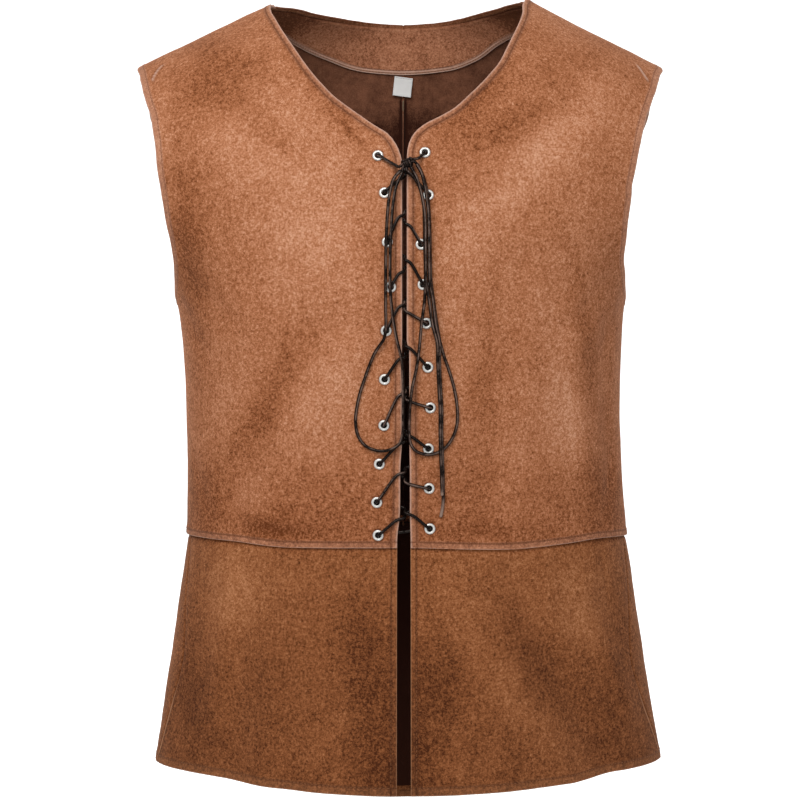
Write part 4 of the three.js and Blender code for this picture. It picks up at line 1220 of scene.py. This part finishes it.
def knot_object():
    """The bow's knot: the lace wound three times round its own crossing, over two tucked bends."""
    parts = []
    c = on_front(KNOT["x"], KNOT["z"], KNOT["out"])
    n = outward(angle_at(KNOT["x"], KNOT["z"]), np.array(KNOT["z"]))
    up = unit(np.array([0, 0, 1.0]) - n * n[2])
    side = np.cross(up, n)
    side = side if side[0] > 0 else -side
    turn = math.radians(KNOT_TURN)
    side, up = side * math.cos(turn) + up * math.sin(turn), up * math.cos(turn) - side * math.sin(turn)

    def at(u, v, w):
        return c + side * u + up * v + n * w

    # three close turns round the middle, leaning over
    t = np.linspace(-0.2, 3.15, 130) * 2 * math.pi
    parts.append(np.array([at(-3.6 + 2.35 * k / (2 * math.pi), 2.95 * math.cos(k + 0.5), 2.35 * math.sin(k + 0.5)) for k in t]))
    # the cords that come out of it at both ends, and the bends between them
    parts.append(catmull(np.array([at(-8.2, 0.5, -1.9), at(-6.6, 0.4, -0.6), at(-4.6, 0.7, 0.9), at(-2.4, 0.9, 1.0), at(0.4, 0.4, 0.2), at(3.0, -0.6, -0.2)]), 10))
    parts.append(catmull(np.array([at(9.2, 0.7, -1.9), at(7.2, 0.9, -0.7), at(5.2, 1.3, 0.5), at(3.2, 1.3, 1.3), at(0.8, 0.9, 0.6), at(-2.2, 0.2, 0.0)]), 10))
    parts.append(catmull(np.array([at(-6.9, -4.6, -0.2), at(-6.0, -2.9, 0.2), at(-5.0, -1.5, 0.6), at(-3.4, -0.6, 1.1), at(-1.2, 0.0, 1.4), at(1.4, 0.9, 1.2)]), 10))
    parts.append(catmull(np.array([at(6.6, -3.9, 0.0), at(6.0, -2.4, 0.4), at(5.0, -0.9, 0.9), at(3.4, -0.2, 1.2), at(1.4, -0.4, 1.2), at(-0.8, -0.9, 0.8)]), 10))
    parts.append(catmull(np.array([at(-3.6, -6.2, 0.4), at(-3.2, -4.4, 0.6), at(-2.6, -3.0, 0.6), at(-1.4, -1.9, 0.4), at(0.6, -1.6, 0.2)]), 10))
    parts.append(catmull(np.array([at(0.9, -5.8, 0.2), at(0.8, -4.4, 0.7), at(0.9, -3.2, 1.0), at(1.8, -2.0, 1.0), at(3.4, -1.2, 0.4)]), 10))
    verts, faces, uvs, base = [], [], [], 0
    for p in parts:
        line, _ = even(p, 0.8)
        v, f, u = tube(line, CORD_RADIUS * 0.97, 12)
        verts.append(v)
        faces += [[q + base for q in face] for face in f]
        uvs += [c for face in u for c in face]
        base += len(v)
    obj = new_object("lace_knot", np.concatenate(verts), faces, [LACE], uv=uvs)
    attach(obj, "root")
    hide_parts("bow_knot")
    return obj


knot = knot_object()

# ------------------------------------------------------------------ eyelets
RING = [
    (2.50, -3.05), (2.50, -1.2), (2.50, 0.35), (2.58, 0.75), (2.85, 1.00), (3.28, 1.12), (3.78, 1.08), (4.22, 0.88),
    (4.52, 0.58), (4.67, 0.28), (4.60, 0.05), (4.35, -0.05), (3.05, -0.05), (3.05, -1.9), (3.70, -1.98), (4.00, -2.2),
    (4.04, -2.5), (3.84, -2.85), (3.45, -3.08), (2.95, -3.15),
]


def eyelet_object(side, row, centre, normal):
    sides = 40
    a = np.arange(sides) / sides * 2 * math.pi
    up = unit(np.array([0, 0, 1.0]) - normal * normal[2])
    across = np.cross(up, normal)
    verts = np.array([
        centre + normal * h + r * (math.cos(t) * across + math.sin(t) * up)
        for r, h in RING for t in a
    ])
    m = len(RING)
    faces = []
    for i in range(m):
        k = (i + 1) % m
        for j in range(sides):
            l = (j + 1) % sides
            faces.append([i * sides + j, i * sides + l, k * sides + l, k * sides + j])
    node = f"eyelet_{side}_{row:02d}"
    obj = new_object("ring_" + node, verts, np.array(faces), [METAL])
    q = verts[np.array(faces)]
    volume = dot(q[:, 0] - centre, np.cross(q[:, 1] - centre, q[:, 2] - centre)).sum()
    if volume < 0:
        obj.data.flip_normals()
    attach(obj, "root")
    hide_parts(node)
    return obj


rings = {"right": [], "left": []}
for side, row, _x, _z, centre, normal in eyelet_list:
    rings[side].append(eyelet_object(side, row, centre, normal))

# ------------------------------------------------------------------- panels
EDGE_STEPS = [0, 0.35, 0.8, 1.35, 2.0, 2.8, 3.5, 4.0, 4.5, 5.0, 5.6, 6.2, 6.7, 7.2, 7.8, 8.6, 9.6]
FRONT_STEPS = EDGE_STEPS + [10.7, 11.8, 12.9, 14.0, 15.1, 16.2, 17.3, 18.4, 19.5, 20.6, 21.8, 23.2, 25.0]
SEAM_STEPS = [0, 0.3, 0.7, 1.2, 1.9, 2.9, 4.3]
report = {}


def dense(z0, z1, n=500):
    """Heights between two, closest at the ends."""
    return z0 + (z1 - z0) * (1 - np.cos(np.linspace(0, math.pi, n))) / 2


def joined(*parts):
    return np.concatenate([np.concatenate([a[:-1] for a in parts[:-1]]), parts[-1]]) if len(parts) > 1 else parts[0]


def panel(name, node, ga, gz, finished, seams, lap=None, tuck=None, holes=(), material=BODICE_SUEDE, ridge=None, tone=0.0, pinches=()):
    """Builds one cloth panel. finished and seams are lists of (edge points, stitch distance or None)."""
    flat = surface(ga, gz)
    point, normal = cloth(ga, gz)
    outer = np.zeros(ga.shape)
    inner = np.full(ga.shape, -CLOTH)
    nearest = np.full(ga.shape, 30.0)
    groove = np.zeros(ga.shape)
    plate = np.zeros(ga.shape)
    fold_in = np.zeros(ga.shape)
    rim = np.zeros(ga.shape)
    fine = noise(flat / 4.6 + 5)
    band = np.zeros(ga.shape)
    for line, stitch, raise_by, dark, light, bright in finished:
        d, at = distance(flat, line)
        s = np.broadcast_to(stitch, (len(line),))[at]
        plate = np.maximum(plate, raise_by * (1 - step((d - s - 0.3) / 2.6)))
        g = dark * np.exp(-(((d - s) / 0.75) ** 2))
        groove = np.maximum(groove, g)
        # painted shade: a soft darker strip beside the stitching of the deeper edges
        if dark > 1.1:
            groove = np.maximum(groove, 0.62 * np.exp(-(((d - s - 0.4) / 1.9) ** 2)))
        # painted light: the raised strip between the edge and its stitching is lighter
        band = np.maximum(band, light * (1 - step((d - s - 0.4) / 1.6)))
        outer += 0.30 * dark * fine * np.exp(-(((d - s) / 4.2) ** 2))
        rim = np.minimum(rim, rounded(d, 1.1))
        fold_in = np.maximum(fold_in, 1 - step((d - s - 4.5) / 1.0))
        # painted highlight along the folded edge, as narrow as bright makes it; an edge with no highlight gets a dark
        # line along it instead, painted shade
        nearest = np.minimum(nearest, d / bright if bright else 30.0)
        if not bright:
            groove = np.maximum(groove, 1.1 * np.exp(-((d / 1.5) ** 2)))
    for line, depth in seams:
        d, _ = distance(flat, line)
        outer += -depth * np.exp(-((d / 0.8) ** 2)) - 0.25 * np.exp(-((d / 3.0) ** 2))
        outer += 0.22 * fine * np.exp(-((d / 6.0) ** 2))
        inner -= 0.55 * (1 - step((d - 8) / 1.4)) + (0.25 + depth * 0.55) * np.exp(-((d / 0.8) ** 2))
        groove = np.maximum(groove, 0.75 * np.exp(-((d / 0.7) ** 2)))
    # fine pinched ridges with a painted highlight along them and a painted shadow strip next to them
    painted_shadow_beside = np.zeros(ga.shape)
    for pa, pz, height, strip in pinches:
        d, at = distance(flat, surface(pa, pz))
        along = at / (len(pz) - 1)
        fade = step((along - 0.4) / 0.35) if height < 0.6 else step(along / 0.2) * step((1 - along) / 0.2)
        outer += height * fade * np.exp(-((d / 1.1) ** 2))
        nearest = np.minimum(nearest, np.where(fade > 0.02, d * 0.9 + 3.0 * (1 - fade), 30.0))
        band = np.maximum(band, 2.2 * fade * np.exp(-((d / 0.9) ** 2)))
        painted_shadow_beside = np.maximum(painted_shadow_beside, fade * np.exp(-(((d - strip * 0.75) / strip * 2.0) ** 2)))
    seam_thread_and_shade = np.zeros(ga.shape)
    if ridge is not None:
        d, _ = distance(flat, ridge)
        below = step((-62 - gz) / 6)
        inner -= (2.6 * np.exp(-((d / 1.1) ** 2)) - 0.5 * np.exp(-(((d - 2.8) / 1.0) ** 2))) * below
        # inside along the centre back seam: lighter for its overlock thread, painted shade in strips on both sides, and
        # both weaker lower down, where painted shade deeper inside takes over
        seam_thread_and_shade = (0.75 * np.exp(-((d / 0.8) ** 2)) - 0.75 * np.exp(-(((d - 2.3) / 0.9) ** 2))) * below * (1 - 0.8 * step((-95 - gz) / 60))
    outer += plate - 0.5 * groove * (plate > 0) + 0.80 * rim
    inner += -0.40 * fold_in - 0.70 * rim
    if tuck is not None:
        outer += tuck(gz)
        inner += tuck(gz)
    keep = np.ones((ga.shape[0] - 1, ga.shape[1] - 1), bool)
    top = point + normal * outer[..., None]
    low = point + normal * inner[..., None]
    for centre, axis in holes:
        rel = point - centre
        flat_rel = rel - axis * dot(rel, axis)[..., None]
        r = np.linalg.norm(flat_rel, axis=-1)
        near = np.linalg.norm(rel, axis=-1) < 14
        r = np.where(near, r, 99)
        rc = np.linalg.norm((flat_rel[1:, 1:] + flat_rel[:-1, 1:] + flat_rel[1:, :-1] + flat_rel[:-1, :-1]) / 4, axis=-1)
        rc = np.where(near[1:, 1:], rc, 99)
        gone = rc < 3.55
        keep &= ~gone
        touch = np.zeros(ga.shape, bool)
        for di in (0, 1):
            for dj in (0, 1):
                touch[di : di + gone.shape[0], dj : dj + gone.shape[1]] |= gone
        stay = np.zeros(ga.shape, bool)
        for di in (0, 1):
            for dj in (0, 1):
                stay[di : di + gone.shape[0], dj : dj + gone.shape[1]] |= ~gone
        ring = touch & stay & (r < 20)
        move = np.where(ring, 3.4 / np.maximum(r, 0.5) - 1, 0)[..., None] * flat_rel
        press = (-0.35 * np.exp(-(((r - 4.5) / 1.9) ** 2)) + 0.22 * np.exp(-(((r - 8) / 2.8) ** 2)))[..., None] * axis
        press = np.where((r < 30)[..., None], press, 0)
        # painted shadow: a dark ring round each eyelet
        groove = np.maximum(groove, 0.8 * np.exp(-(((r - 4.9) / 0.7) ** 2)))
        top = top + move + press
        low = low + move + press * 0.6
    inside = np.where((fold_in[:-1, :-1] > 0.5), 0, 1)
    shade = nap_and_painted_shade(ga, gz, flat) + tone - 0.13 * painted_shadow_beside
    attributes = {
        "shade": shade, "edge": nearest, "groove": groove, "ridge": seam_thread_and_shade, "band": band,
        # the wrong side is painted lighter near the neck and darker lower down, painted light and shade inside the
        # vest; the noise is its own uneven tone
        "inside": 0.10 * step((flat[..., 2] + 330) / 260) - 0.36 * step((-300 - flat[..., 2]) / 260) + 0.16 * noise(flat / 22 + 3)
        - 0.46 * step((-62 - flat[..., 2]) / 50) * (1 - 0.45 * step((-170 - flat[..., 2]) / 60)),
        "nx": normal[..., 0], "ny": normal[..., 1], "nz": normal[..., 2],
    }
    obj = shell(name, top, low, keep, [material, INSIDE], inside, attributes)
    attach(obj, "root")
    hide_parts(node)
    q = flat
    area = 0.5 * (
        np.linalg.norm(np.cross(q[1:, :-1] - q[:-1, :-1], q[1:, 1:] - q[:-1, :-1]), axis=-1)
        + np.linalg.norm(np.cross(q[1:, 1:] - q[:-1, :-1], q[:-1, 1:] - q[:-1, :-1]), axis=-1)
    ).sum() / 1e6
    report[name] = {"area": round(float(area), 4), "faces": len(obj.data.polygons)}
    return obj


# One short soft thread bulge for each stitch.
def stitches(name, lines, material=THREAD, length=2.7, gap=0.75, radius=0.30):
    verts, faces, base = [], [], 0
    for p, n in lines:
        s = np.concatenate([[0], np.cumsum(np.linalg.norm(np.diff(p, axis=0), axis=1))])
        count = int(s[-1] / (length + gap))
        if count < 1:
            continue
        mid = (np.arange(count) + 0.5) * (s[-1] / count)
        offsets = np.array([-0.5, -0.34, 0.0, 0.34, 0.5]) * length
        size = np.array([0.30, 0.85, 1.0, 0.85, 0.30]) * radius
        rise = np.array([-0.34, -0.02, 0.12, -0.02, -0.34])
        d = mid[:, None] + offsets[None]
        q = np.stack([np.interp(d, s, p[:, k]) for k in range(3)], -1)
        m = unit(np.stack([np.interp(d, s, n[:, k]) for k in range(3)], -1))
        t = unit(np.gradient(q, axis=1))
        b = np.cross(m, t)
        a = np.arange(6) / 6 * 2 * math.pi
        c = q + m * rise[None, :, None]
        ring = c[:, :, None] + size[None, :, None, None] * (
            np.cos(a)[None, None, :, None] * b[:, :, None] + np.sin(a)[None, None, :, None] * m[:, :, None])
        v = ring.reshape(-1, 3)
        k = np.arange(count)[:, None, None] * 30
        i = np.arange(4)[None, :, None] * 6
        j = np.arange(6)[None, None, :]
        l = (j + 1) % 6
        f = np.stack(np.broadcast_arrays(k + i + j, k + i + l, k + i + 6 + l, k + i + 6 + j), -1).reshape(-1, 4)
        caps = []
        for kk in range(count):
            o = kk * 30
            caps += [[o + 5, o + 4, o + 3, o + 2], [o + 5, o + 2, o + 1, o + 0], [o + 24, o + 25, o + 26, o + 27], [o + 24, o + 27, o + 28, o + 29]]
        f = np.concatenate([f, np.array(caps)])
        verts.append(v)
        faces.append(f + base)
        base += len(v)
    obj = new_object(name, np.concatenate(verts), np.concatenate(faces), [material])
    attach(obj, "root")
    return obj


def stitch_line(edge, inset, start=0.0, stop=None, lift=0.22):
    """A line of points on the cloth at a distance inside an edge."""
    inset = np.broadcast_to(inset, edge.s.shape)
    sel = (edge.s >= start) & (edge.s <= (edge.length if stop is None else stop))
    a, z = edge.a[sel] + edge.ba[sel] * inset[sel], edge.z[sel] + edge.bz[sel] * inset[sel]
    p, n = cloth(a, z)
    # drop points where the line doubles back at a sharp inside corner
    return p + n * lift, n


def cf_angle(side, z):
    sign = 1 if side == "left" else -1
    return np.abs(angle_at(sign * front_edge[side](z), z))


# a fine pinched ridge in the front, just inside each shoulder tip
PINCH = table(["z", "right", "left"], [[-88, 53.0, 53.4], [-83.6, 54.3, 54.6], [-80, 55.4, 55.3], [-76, 56.6, 56.4], [-70, 58.2, 58.1], [-65, 58.7, 59.6]])
_pz = np.linspace(-65, -88, 60)
TIP_PINCH = {
    side: (sign * np.interp(_pz, PINCH["z"], PINCH[side]), _pz, 0.9, 2.6)
    for side, sign in (("right", -1), ("left", 1))
}
for side in ("right", "left"):
    sign = 1 if side == "left" else -1
    top_z = NECK_POINT[side]
    # inner edge
    z = np.concatenate([np.linspace(top_z, -20, 160)[:-1], np.linspace(-20, WAIST_Z, 700)])
    inner = np.minimum(cf_angle(side, z), 86) + 4 * np.clip((z + 3) / (top_z + 3), 0, 1)
    left = Edge(sign * inner, z, sign, blur=16)
    # armhole and side seam
    zh = dense(TIP_Z, UNDERARM_Z)
    zs = np.linspace(UNDERARM_Z, WAIST_Z, 200)
    right = Edge(sign * joined(armhole[side](zh), np.full(200, 90.0)), joined(zh, zs), -sign, blur=30)
    arm = Edge(sign * armhole[side](zh), zh, -sign, blur=5)
    zt = np.linspace(top_z, TIP_Z, 120)
    top = (np.full(120, sign * 90.0), zt)
    bottom_a = np.linspace(inner[-1], 90, 200) * sign
    bottom = (bottom_a, np.full(200, float(WAIST_Z)))
    ga, gz, bad = panel_grid(left, right, top, bottom, FRONT_STEPS, EDGE_STEPS, 46, SEAM_STEPS, EDGE_STEPS, 1.75, pull=0.35)
    s_in = 4.6 + 0.8 * step((-135 - left.z) / 60)
    waist_line = surface(bottom[0], bottom[1])
    shoulder_line = surface(*top)
    side_line = surface(np.full(200, sign * 90.0), zs)
    holes = [(c, n) for s, _, _, _, c, n in eyelet_list if s == side]
    node = f"front_bodice_{side}"
    obj = panel(
        f"cloth_{node}", node, ga, gz,
        [(left.p, s_in, 0.55, 1.25, 0.45, 1.2), (arm.p, 6.0, 0.30, 0.40, 0.9, 1.0), (waist_line, 5.0, 0.62, 1.0, 0.5, 0.6)],
        [(shoulder_line, 1.0), (side_line, 1.0)], holes=holes, pinches=[TIP_PINCH[side]])
    report[obj.name]["bad"] = bad
    waist = Edge(bottom[0], bottom[1], 1, blur=5)
    # across the waist line is up
    if waist.bz.mean() < 0:
        waist.ba, waist.bz = -waist.ba, -waist.bz
    lines = [stitch_line(left, s_in, 3), stitch_line(arm, 6.0, 3, arm.length - 3), stitch_line(waist, 5.0, 6, lift=0.40)]
    sewn = stitches(f"stitch_{node}", lines)

for side in ("right", "left"):
    def real(t):
        return t if side == "left" else 360 - t

    sign = -1 if side == "left" else 1  # the grid runs from the centre back to the side
    z = np.linspace(float(neck_top(180.0)), WAIST_Z, 700)
    left = Edge(np.full(700, 180.0), z, sign, blur=10)
    zh = dense(TIP_Z, UNDERARM_Z)
    zs = np.linspace(UNDERARM_Z, WAIST_Z, 200)
    right = Edge(real(joined(180 - armhole["back"](zh), np.full(200, 90.0))), joined(zh, zs), -sign, blur=30)
    arm = Edge(real(180 - armhole["back"](zh)), zh, -sign, blur=5)
    na = real(np.linspace(180, 90, 160))
    nz = neck_top(na)
    zt = np.linspace(float(nz[-1]), TIP_Z, 120)
    top = (joined(na, np.full(120, real(90.0))), joined(nz, zt))
    bottom = (real(np.linspace(180, 90, 200)), np.full(200, float(WAIST_Z)))
    ga, gz, bad = panel_grid(left, right, top, bottom, SEAM_STEPS, EDGE_STEPS, 62, EDGE_STEPS, EDGE_STEPS, 2.3, reach_top=110)
    node = f"back_bodice_{side}"
    waist_line = surface(*bottom)
    neck_line = surface(na, nz)
    obj = panel(
        f"cloth_{node}", node, ga, gz,
        [(neck_line, 4.6, 0.36, 0.7, 0.0, 0), (arm.p, 6.0, 0.30, 0.40, 0.9, 1.0), (waist_line, 5.0, 0.62, 1.0, 0.5, 0.6)],
        [(surface(np.full(120, real(90.0)), zt), 1.0), (surface(np.full(200, real(90.0)), zs), 1.0), (left.p, 1.0)],
        ridge=left.p)
    report[obj.name]["bad"] = bad
    neck = Edge(na, nz, sign, blur=5)
    if neck.bz.mean() > 0:
        neck.ba, neck.bz = -neck.ba, -neck.bz
    waist = Edge(bottom[0], bottom[1], sign, blur=5)
    if waist.bz.mean() < 0:
        waist.ba, waist.bz = -waist.ba, -waist.bz
    lines = [stitch_line(neck, 4.6, 2), stitch_line(arm, 6.0, 3, arm.length - 3), stitch_line(waist, 5.0, 1, lift=0.40)]
    sewn = stitches(f"stitch_{node}", lines)

# -------------------------------------------------------------------- skirt
TUCK = table(["z", "out"], [[-480, -2.4], [-494, -2.4], [-495.5, -1.9], [-498, -1.15], [-504, -0.7], [-514, -0.3], [-528, 0], [-800, 0]])
tuck = Smooth(TUCK, "z", "out")
TOP_Z = WAIST_Z + 3.5
for side in ("right", "left"):
    sign = 1 if side == "left" else -1
    z = np.linspace(TOP_Z, HEM_Z, 400)
    left = Edge(sign * cf_angle(side, z), z, sign, blur=10)
    right = Edge(sign * skirt_seam[side](z), z, -sign, blur=20)
    top = (np.linspace(left.a[0], right.a[0], 160), np.full(160, TOP_Z))
    bottom = (np.linspace(left.a[-1], right.a[-1], 160), np.full(160, float(HEM_Z)))
    ga, gz, bad = panel_grid(left, right, top, bottom, EDGE_STEPS, SEAM_STEPS, 66, [0, 1.5, 3, 3.6, 4.2, 5, 6, 7.5], EDGE_STEPS, 2.2)
    node = f"front_skirt_{side}"
    hem = Edge(bottom[0], bottom[1], 1, blur=5)
    if hem.bz.mean() < 0:
        hem.ba, hem.bz = -hem.ba, -hem.bz
    obj = panel(
        f"cloth_{node}", node, ga, gz,
        [(left.p, 4.9, 0.36, 1.0, 0.15, 0.6), (hem.p, 6.6, 0.42, 0.9, 0.55, 0.8)], [(right.p, 0.9)], tuck=tuck, material=SKIRT_SUEDE,
        pinches=[(right.a - sign * 0.9 * step((-600 - right.z) / 60), right.z, 0.5, 4.0)])
    report[obj.name]["bad"] = bad
    lines = [stitch_line(left, 4.9, 9, left.length - 7), stitch_line(hem, 6.6, 5)]
    sewn = stitches(f"stitch_{node}", lines)

z = np.linspace(TOP_Z, HEM_Z, 400)
left = Edge(skirt_seam["left"](z), z, 1, blur=20)
right = Edge(360 - skirt_seam["right"](z), z, -1, blur=20)
top = (np.linspace(left.a[0], right.a[0], 300), np.full(300, TOP_Z))
bottom = (np.linspace(left.a[-1], right.a[-1], 400), np.full(400, float(HEM_Z)))
ga, gz, bad = panel_grid(left, right, top, bottom, SEAM_STEPS, SEAM_STEPS, 150, [0, 1.5, 3, 3.6, 4.2, 5, 6, 7.5], EDGE_STEPS, 2.4, reach_bottom=60)
hem = Edge(bottom[0], bottom[1], 1, blur=5)
if hem.bz.mean() < 0:
    hem.ba, hem.bz = -hem.ba, -hem.bz
obj = panel(
    "cloth_back_skirt", "back_skirt", ga, gz, [(hem.p, 6.6, 0.42, 0.9, 0.55, 0.8)], [(left.p, 0.9), (right.p, 0.9)],
    tuck=tuck, material=SKIRT_SUEDE)
report[obj.name]["bad"] = bad
stitches("stitch_back_skirt", [stitch_line(hem, 6.6, 2)])

# ------------------------------------------------------------ neck facing
FACE_OUT = -WALL - 1.55  # the facing's visible side


def facing():
    cols, steps = 190, np.array([0, 0.4, 0.9, 1.5, 2.2, 3.0, 3.8, 4.4, 5.0, 5.6, 6.4, 7.6])
    angle = np.linspace(91.5, 268.5, cols)
    top, low = neck_top(angle) - 1.7, facing_low(angle)
    n = 26
    grid_z = []
    for t, b in zip(top, low):
        h = t - b
        k = min(1.0, h / 16.0)
        grid_z.append(np.concatenate([[t, t - 0.5 * k, t - 1.2 * k, t - 2.2 * k], np.linspace(t - 3.4 * k, b + 7.6 * k, n)[0:], b + steps[::-1][1:] * k]))
    gz = np.array(grid_z).T
    ga = np.broadcast_to(angle, gz.shape)
    flat = bare(ga, gz)
    normal = outward(ga, gz)
    lower = flat[-1]
    d, _ = distance(flat, lower)
    d_top, _ = distance(flat, flat[0])
    fine = noise(flat / 5.0 + 9)
    plate = 0.34 * (1 - step((d - 4.8) / 1.6))
    groove = np.maximum(np.exp(-(((d - 1.6) / 0.6) ** 2)), np.exp(-(((d - 4.4) / 0.6) ** 2)))
    show = -plate + 0.35 * groove + 0.12 * fine + 0.5 * -rounded(d, 0.9) + 0.9 * np.exp(-((d_top / 1.3) ** 2)) - 0.35 * np.exp(-(((d_top - 3.2) / 1.6) ** 2))
    wave = 0.35 * noise(flat / 30)
    visible = flat + normal * (FACE_OUT + show + wave)[..., None]
    hidden = flat + normal * (FACE_OUT + 0.85 + 0.3 * rounded(d, 0.9) + wave)[..., None]
    # painted shade at the facing's ends and in a dark line along its top edge; painted highlights on two lines and a
    # painted lighter band along its lower edge
    shade = 0.09 * noise(flat / [60, 60, 9]) + 0.05 * noise(flat / 14) - 0.38 * step((np.abs(ga - 180) - 42) / 22) - 0.07
    values = {
        "shade": shade, "edge": np.minimum(np.abs(d - 0.5), np.abs(d - 3.1) + 0.25) * 1.25, "groove": 0.8 * groove + 1.1 * np.exp(-((d_top / 2.0) ** 2)),
        "band": 1 - step((d - 4.6) / 1.0), "nx": normal[..., 0], "ny": normal[..., 1], "nz": normal[..., 2],
    }
    keep = np.ones((gz.shape[0] - 1, cols - 1), bool)
    obj = shell("cloth_neck_facing", hidden, visible, keep, [FACING_SUEDE], np.zeros(keep.shape, int), values)
    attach(obj, "root")
    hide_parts("back_neck_facing")
    lines = []
    for inset in (1.6, 4.4):
        a = angle[3:-3]
        k = np.minimum(1.0, (neck_top(a) - 1.7 - facing_low(a)) / 16.0)
        z = facing_low(a) + inset * k
        p, m = bare(a, z), outward(a, z)
        w = 0.35 * noise(p / 30)
        lines.append((p + m * (FACE_OUT - 0.20 + w)[:, None], -m))
    sewn = stitches("stitch_neck_facing", lines, length=2.4, gap=0.7, radius=0.26)
    return obj, sewn


facing_piece, facing_sewn = facing()


# ------------------------------------------------------------------- label
def label():
    rows, cols = 40, 26
    width, height, tilt = 18.5, 17.6, math.radians(7)
    u = (np.linspace(0, 1, cols) - 0.5) * width
    v = np.linspace(0, 1, rows)
    uu, vv = np.meshgrid(u, v)
    b = -vv * height
    x = 0.6 + uu * math.cos(tilt) + b * math.sin(tilt)
    z = -44.2 + b * math.cos(tilt) - uu * math.sin(tilt)
    ga = 180 - angle_at(x, z)
    p, n = bare(ga, z), outward(ga, z)
    lean = -WALL - 1.45 - 1.7 * vv**1.6 - 0.5 * vv * np.cos(uu / width * 3.0) + 0.10 * noise(np.stack([uu, b, 0 * b], -1) / 6)
    lean = lean + 0.35 * np.exp(-(((vv - 0.07) / 0.02) ** 2))
    loop = np.sqrt(np.clip(1 - ((vv - 0.93) / 0.07).clip(0, 1) ** 2, 0.0, 1))
    front = p + n * (lean - 0.38 * loop)[..., None]
    back = p + n * (lean + 0.38 * loop)[..., None]
    values = {"shade": 0 * vv, "edge": 0 * vv + 30, "nx": n[..., 0], "ny": n[..., 1], "nz": n[..., 2]}
    keep = np.ones((rows - 1, cols - 1), bool)
    obj = shell("cloth_label", back, front, keep, [LABEL], np.zeros(keep.shape, int), values)
    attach(obj, "root")
    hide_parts("back_label")
    row = int(rows * 0.07)
    line = front[row, 1:-1]
    sewn = stitches("stitch_label", [(line + n[row, 1:-1] * -0.18, -n[row, 1:-1])], material=THREAD_WHITE, length=1.7, gap=0.6, radius=0.2)
    return obj, sewn


label_piece, label_sewn = label()


# ------------------------------------------------------------------- stage
def stage_material():
    n = Nodes("stage_paper")
    split = n.new("ShaderNodeSeparateXYZ")
    n.link(n.space, split.inputs["Vector"])
    # the backdrop glows softly, and the floor under the vest doesn't glow and is darker: painted shade under the vest
    far = n.range(split.outputs["Y"], 0.4, 1.1)
    n.link(n.ramp(far, [(0.0, (0.60, 0.60, 0.60, 1)), (1.0, (0.92, 0.92, 0.92, 1))]), n.shader.inputs["Base Color"])
    n.link(n.math("MULTIPLY", far, 0.62), n.shader.inputs["Emission Strength"])
    n.set(Roughness=1.0, Emission_Color=(1, 1, 1, 1))
    n.shader.inputs["Specular IOR Level"].default_value = 0.0
    return n.material


def cyclorama():
    """A pale floor that curves up into a backdrop."""
    floor, back, radius, half = -1.05, 3.2, 1.2, 7.0
    profile = [(-7.0, floor), (back - radius, floor)]
    for k in range(1, 17):
        t = k / 16 * math.pi / 2
        profile.append((back - radius + radius * math.sin(t), floor + radius * (1 - math.cos(t))))
    profile.append((back, 6.0))
    verts = [(x, y, z) for y, z in profile for x in (-half, half)]
    faces = [[2 * i, 2 * i + 1, 2 * i + 3, 2 * i + 2] for i in range(len(profile) - 1)]
    mesh = bpy.data.meshes.new("stage_floor")
    mesh.from_pydata(verts, [], faces)
    mesh.materials.append(stage_material())
    mesh.polygons.foreach_set("use_smooth", np.ones(len(mesh.polygons), bool))
    obj = bpy.data.objects.new("stage_floor", mesh)
    bpy.context.scene.collection.objects.link(obj)
    return obj


cyclorama()

world = bpy.data.worlds.new("studio")
bpy.context.scene.world = world
world.use_nodes = True
world.node_tree.nodes["Background"].inputs["Color"].default_value = (1.0, 1.0, 1.0, 1)
world.node_tree.nodes["Background"].inputs["Strength"].default_value = 0.26


def area_light(name, place, target, size, power, colour=(1, 1, 1)):
    light = bpy.data.lights.new(name, "AREA")
    light.shape = "RECTANGLE"
    light.size, light.size_y = size
    light.energy = power
    light.color = colour
    obj = bpy.data.objects.new(name, light)
    bpy.context.scene.collection.objects.link(obj)
    obj.location = place
    obj.rotation_euler = (Vector(target) - Vector(place)).to_track_quat("-Z", "Y").to_euler()
    obj.visible_camera = False
    return obj


area_light("key", (-0.45, -1.75, 0.85), (0, 0, -0.22), (1.3, 1.1), 27, (1.0, 0.985, 0.965))
area_light("fill", (0.5, -2.5, -0.10), (0, 0, -0.3), (1.6, 1.6), 7, (0.98, 0.99, 1.0))
area_light("back_left", (-2.2, 2.0, 0.9), (0, 0, -0.4), (1.5, 1.5), 20)
area_light("back_right", (2.2, 2.0, 0.9), (0, 0, -0.4), (1.5, 1.5), 20)

bpy.context.scene.view_settings.view_transform = "Standard"
bpy.context.scene.view_settings.look = "None"
bpy.context.scene.view_settings.exposure = 0.0
bpy.context.scene.view_settings.gamma = 1.0

for name, facts in report.items():
    print("panel", name, facts)
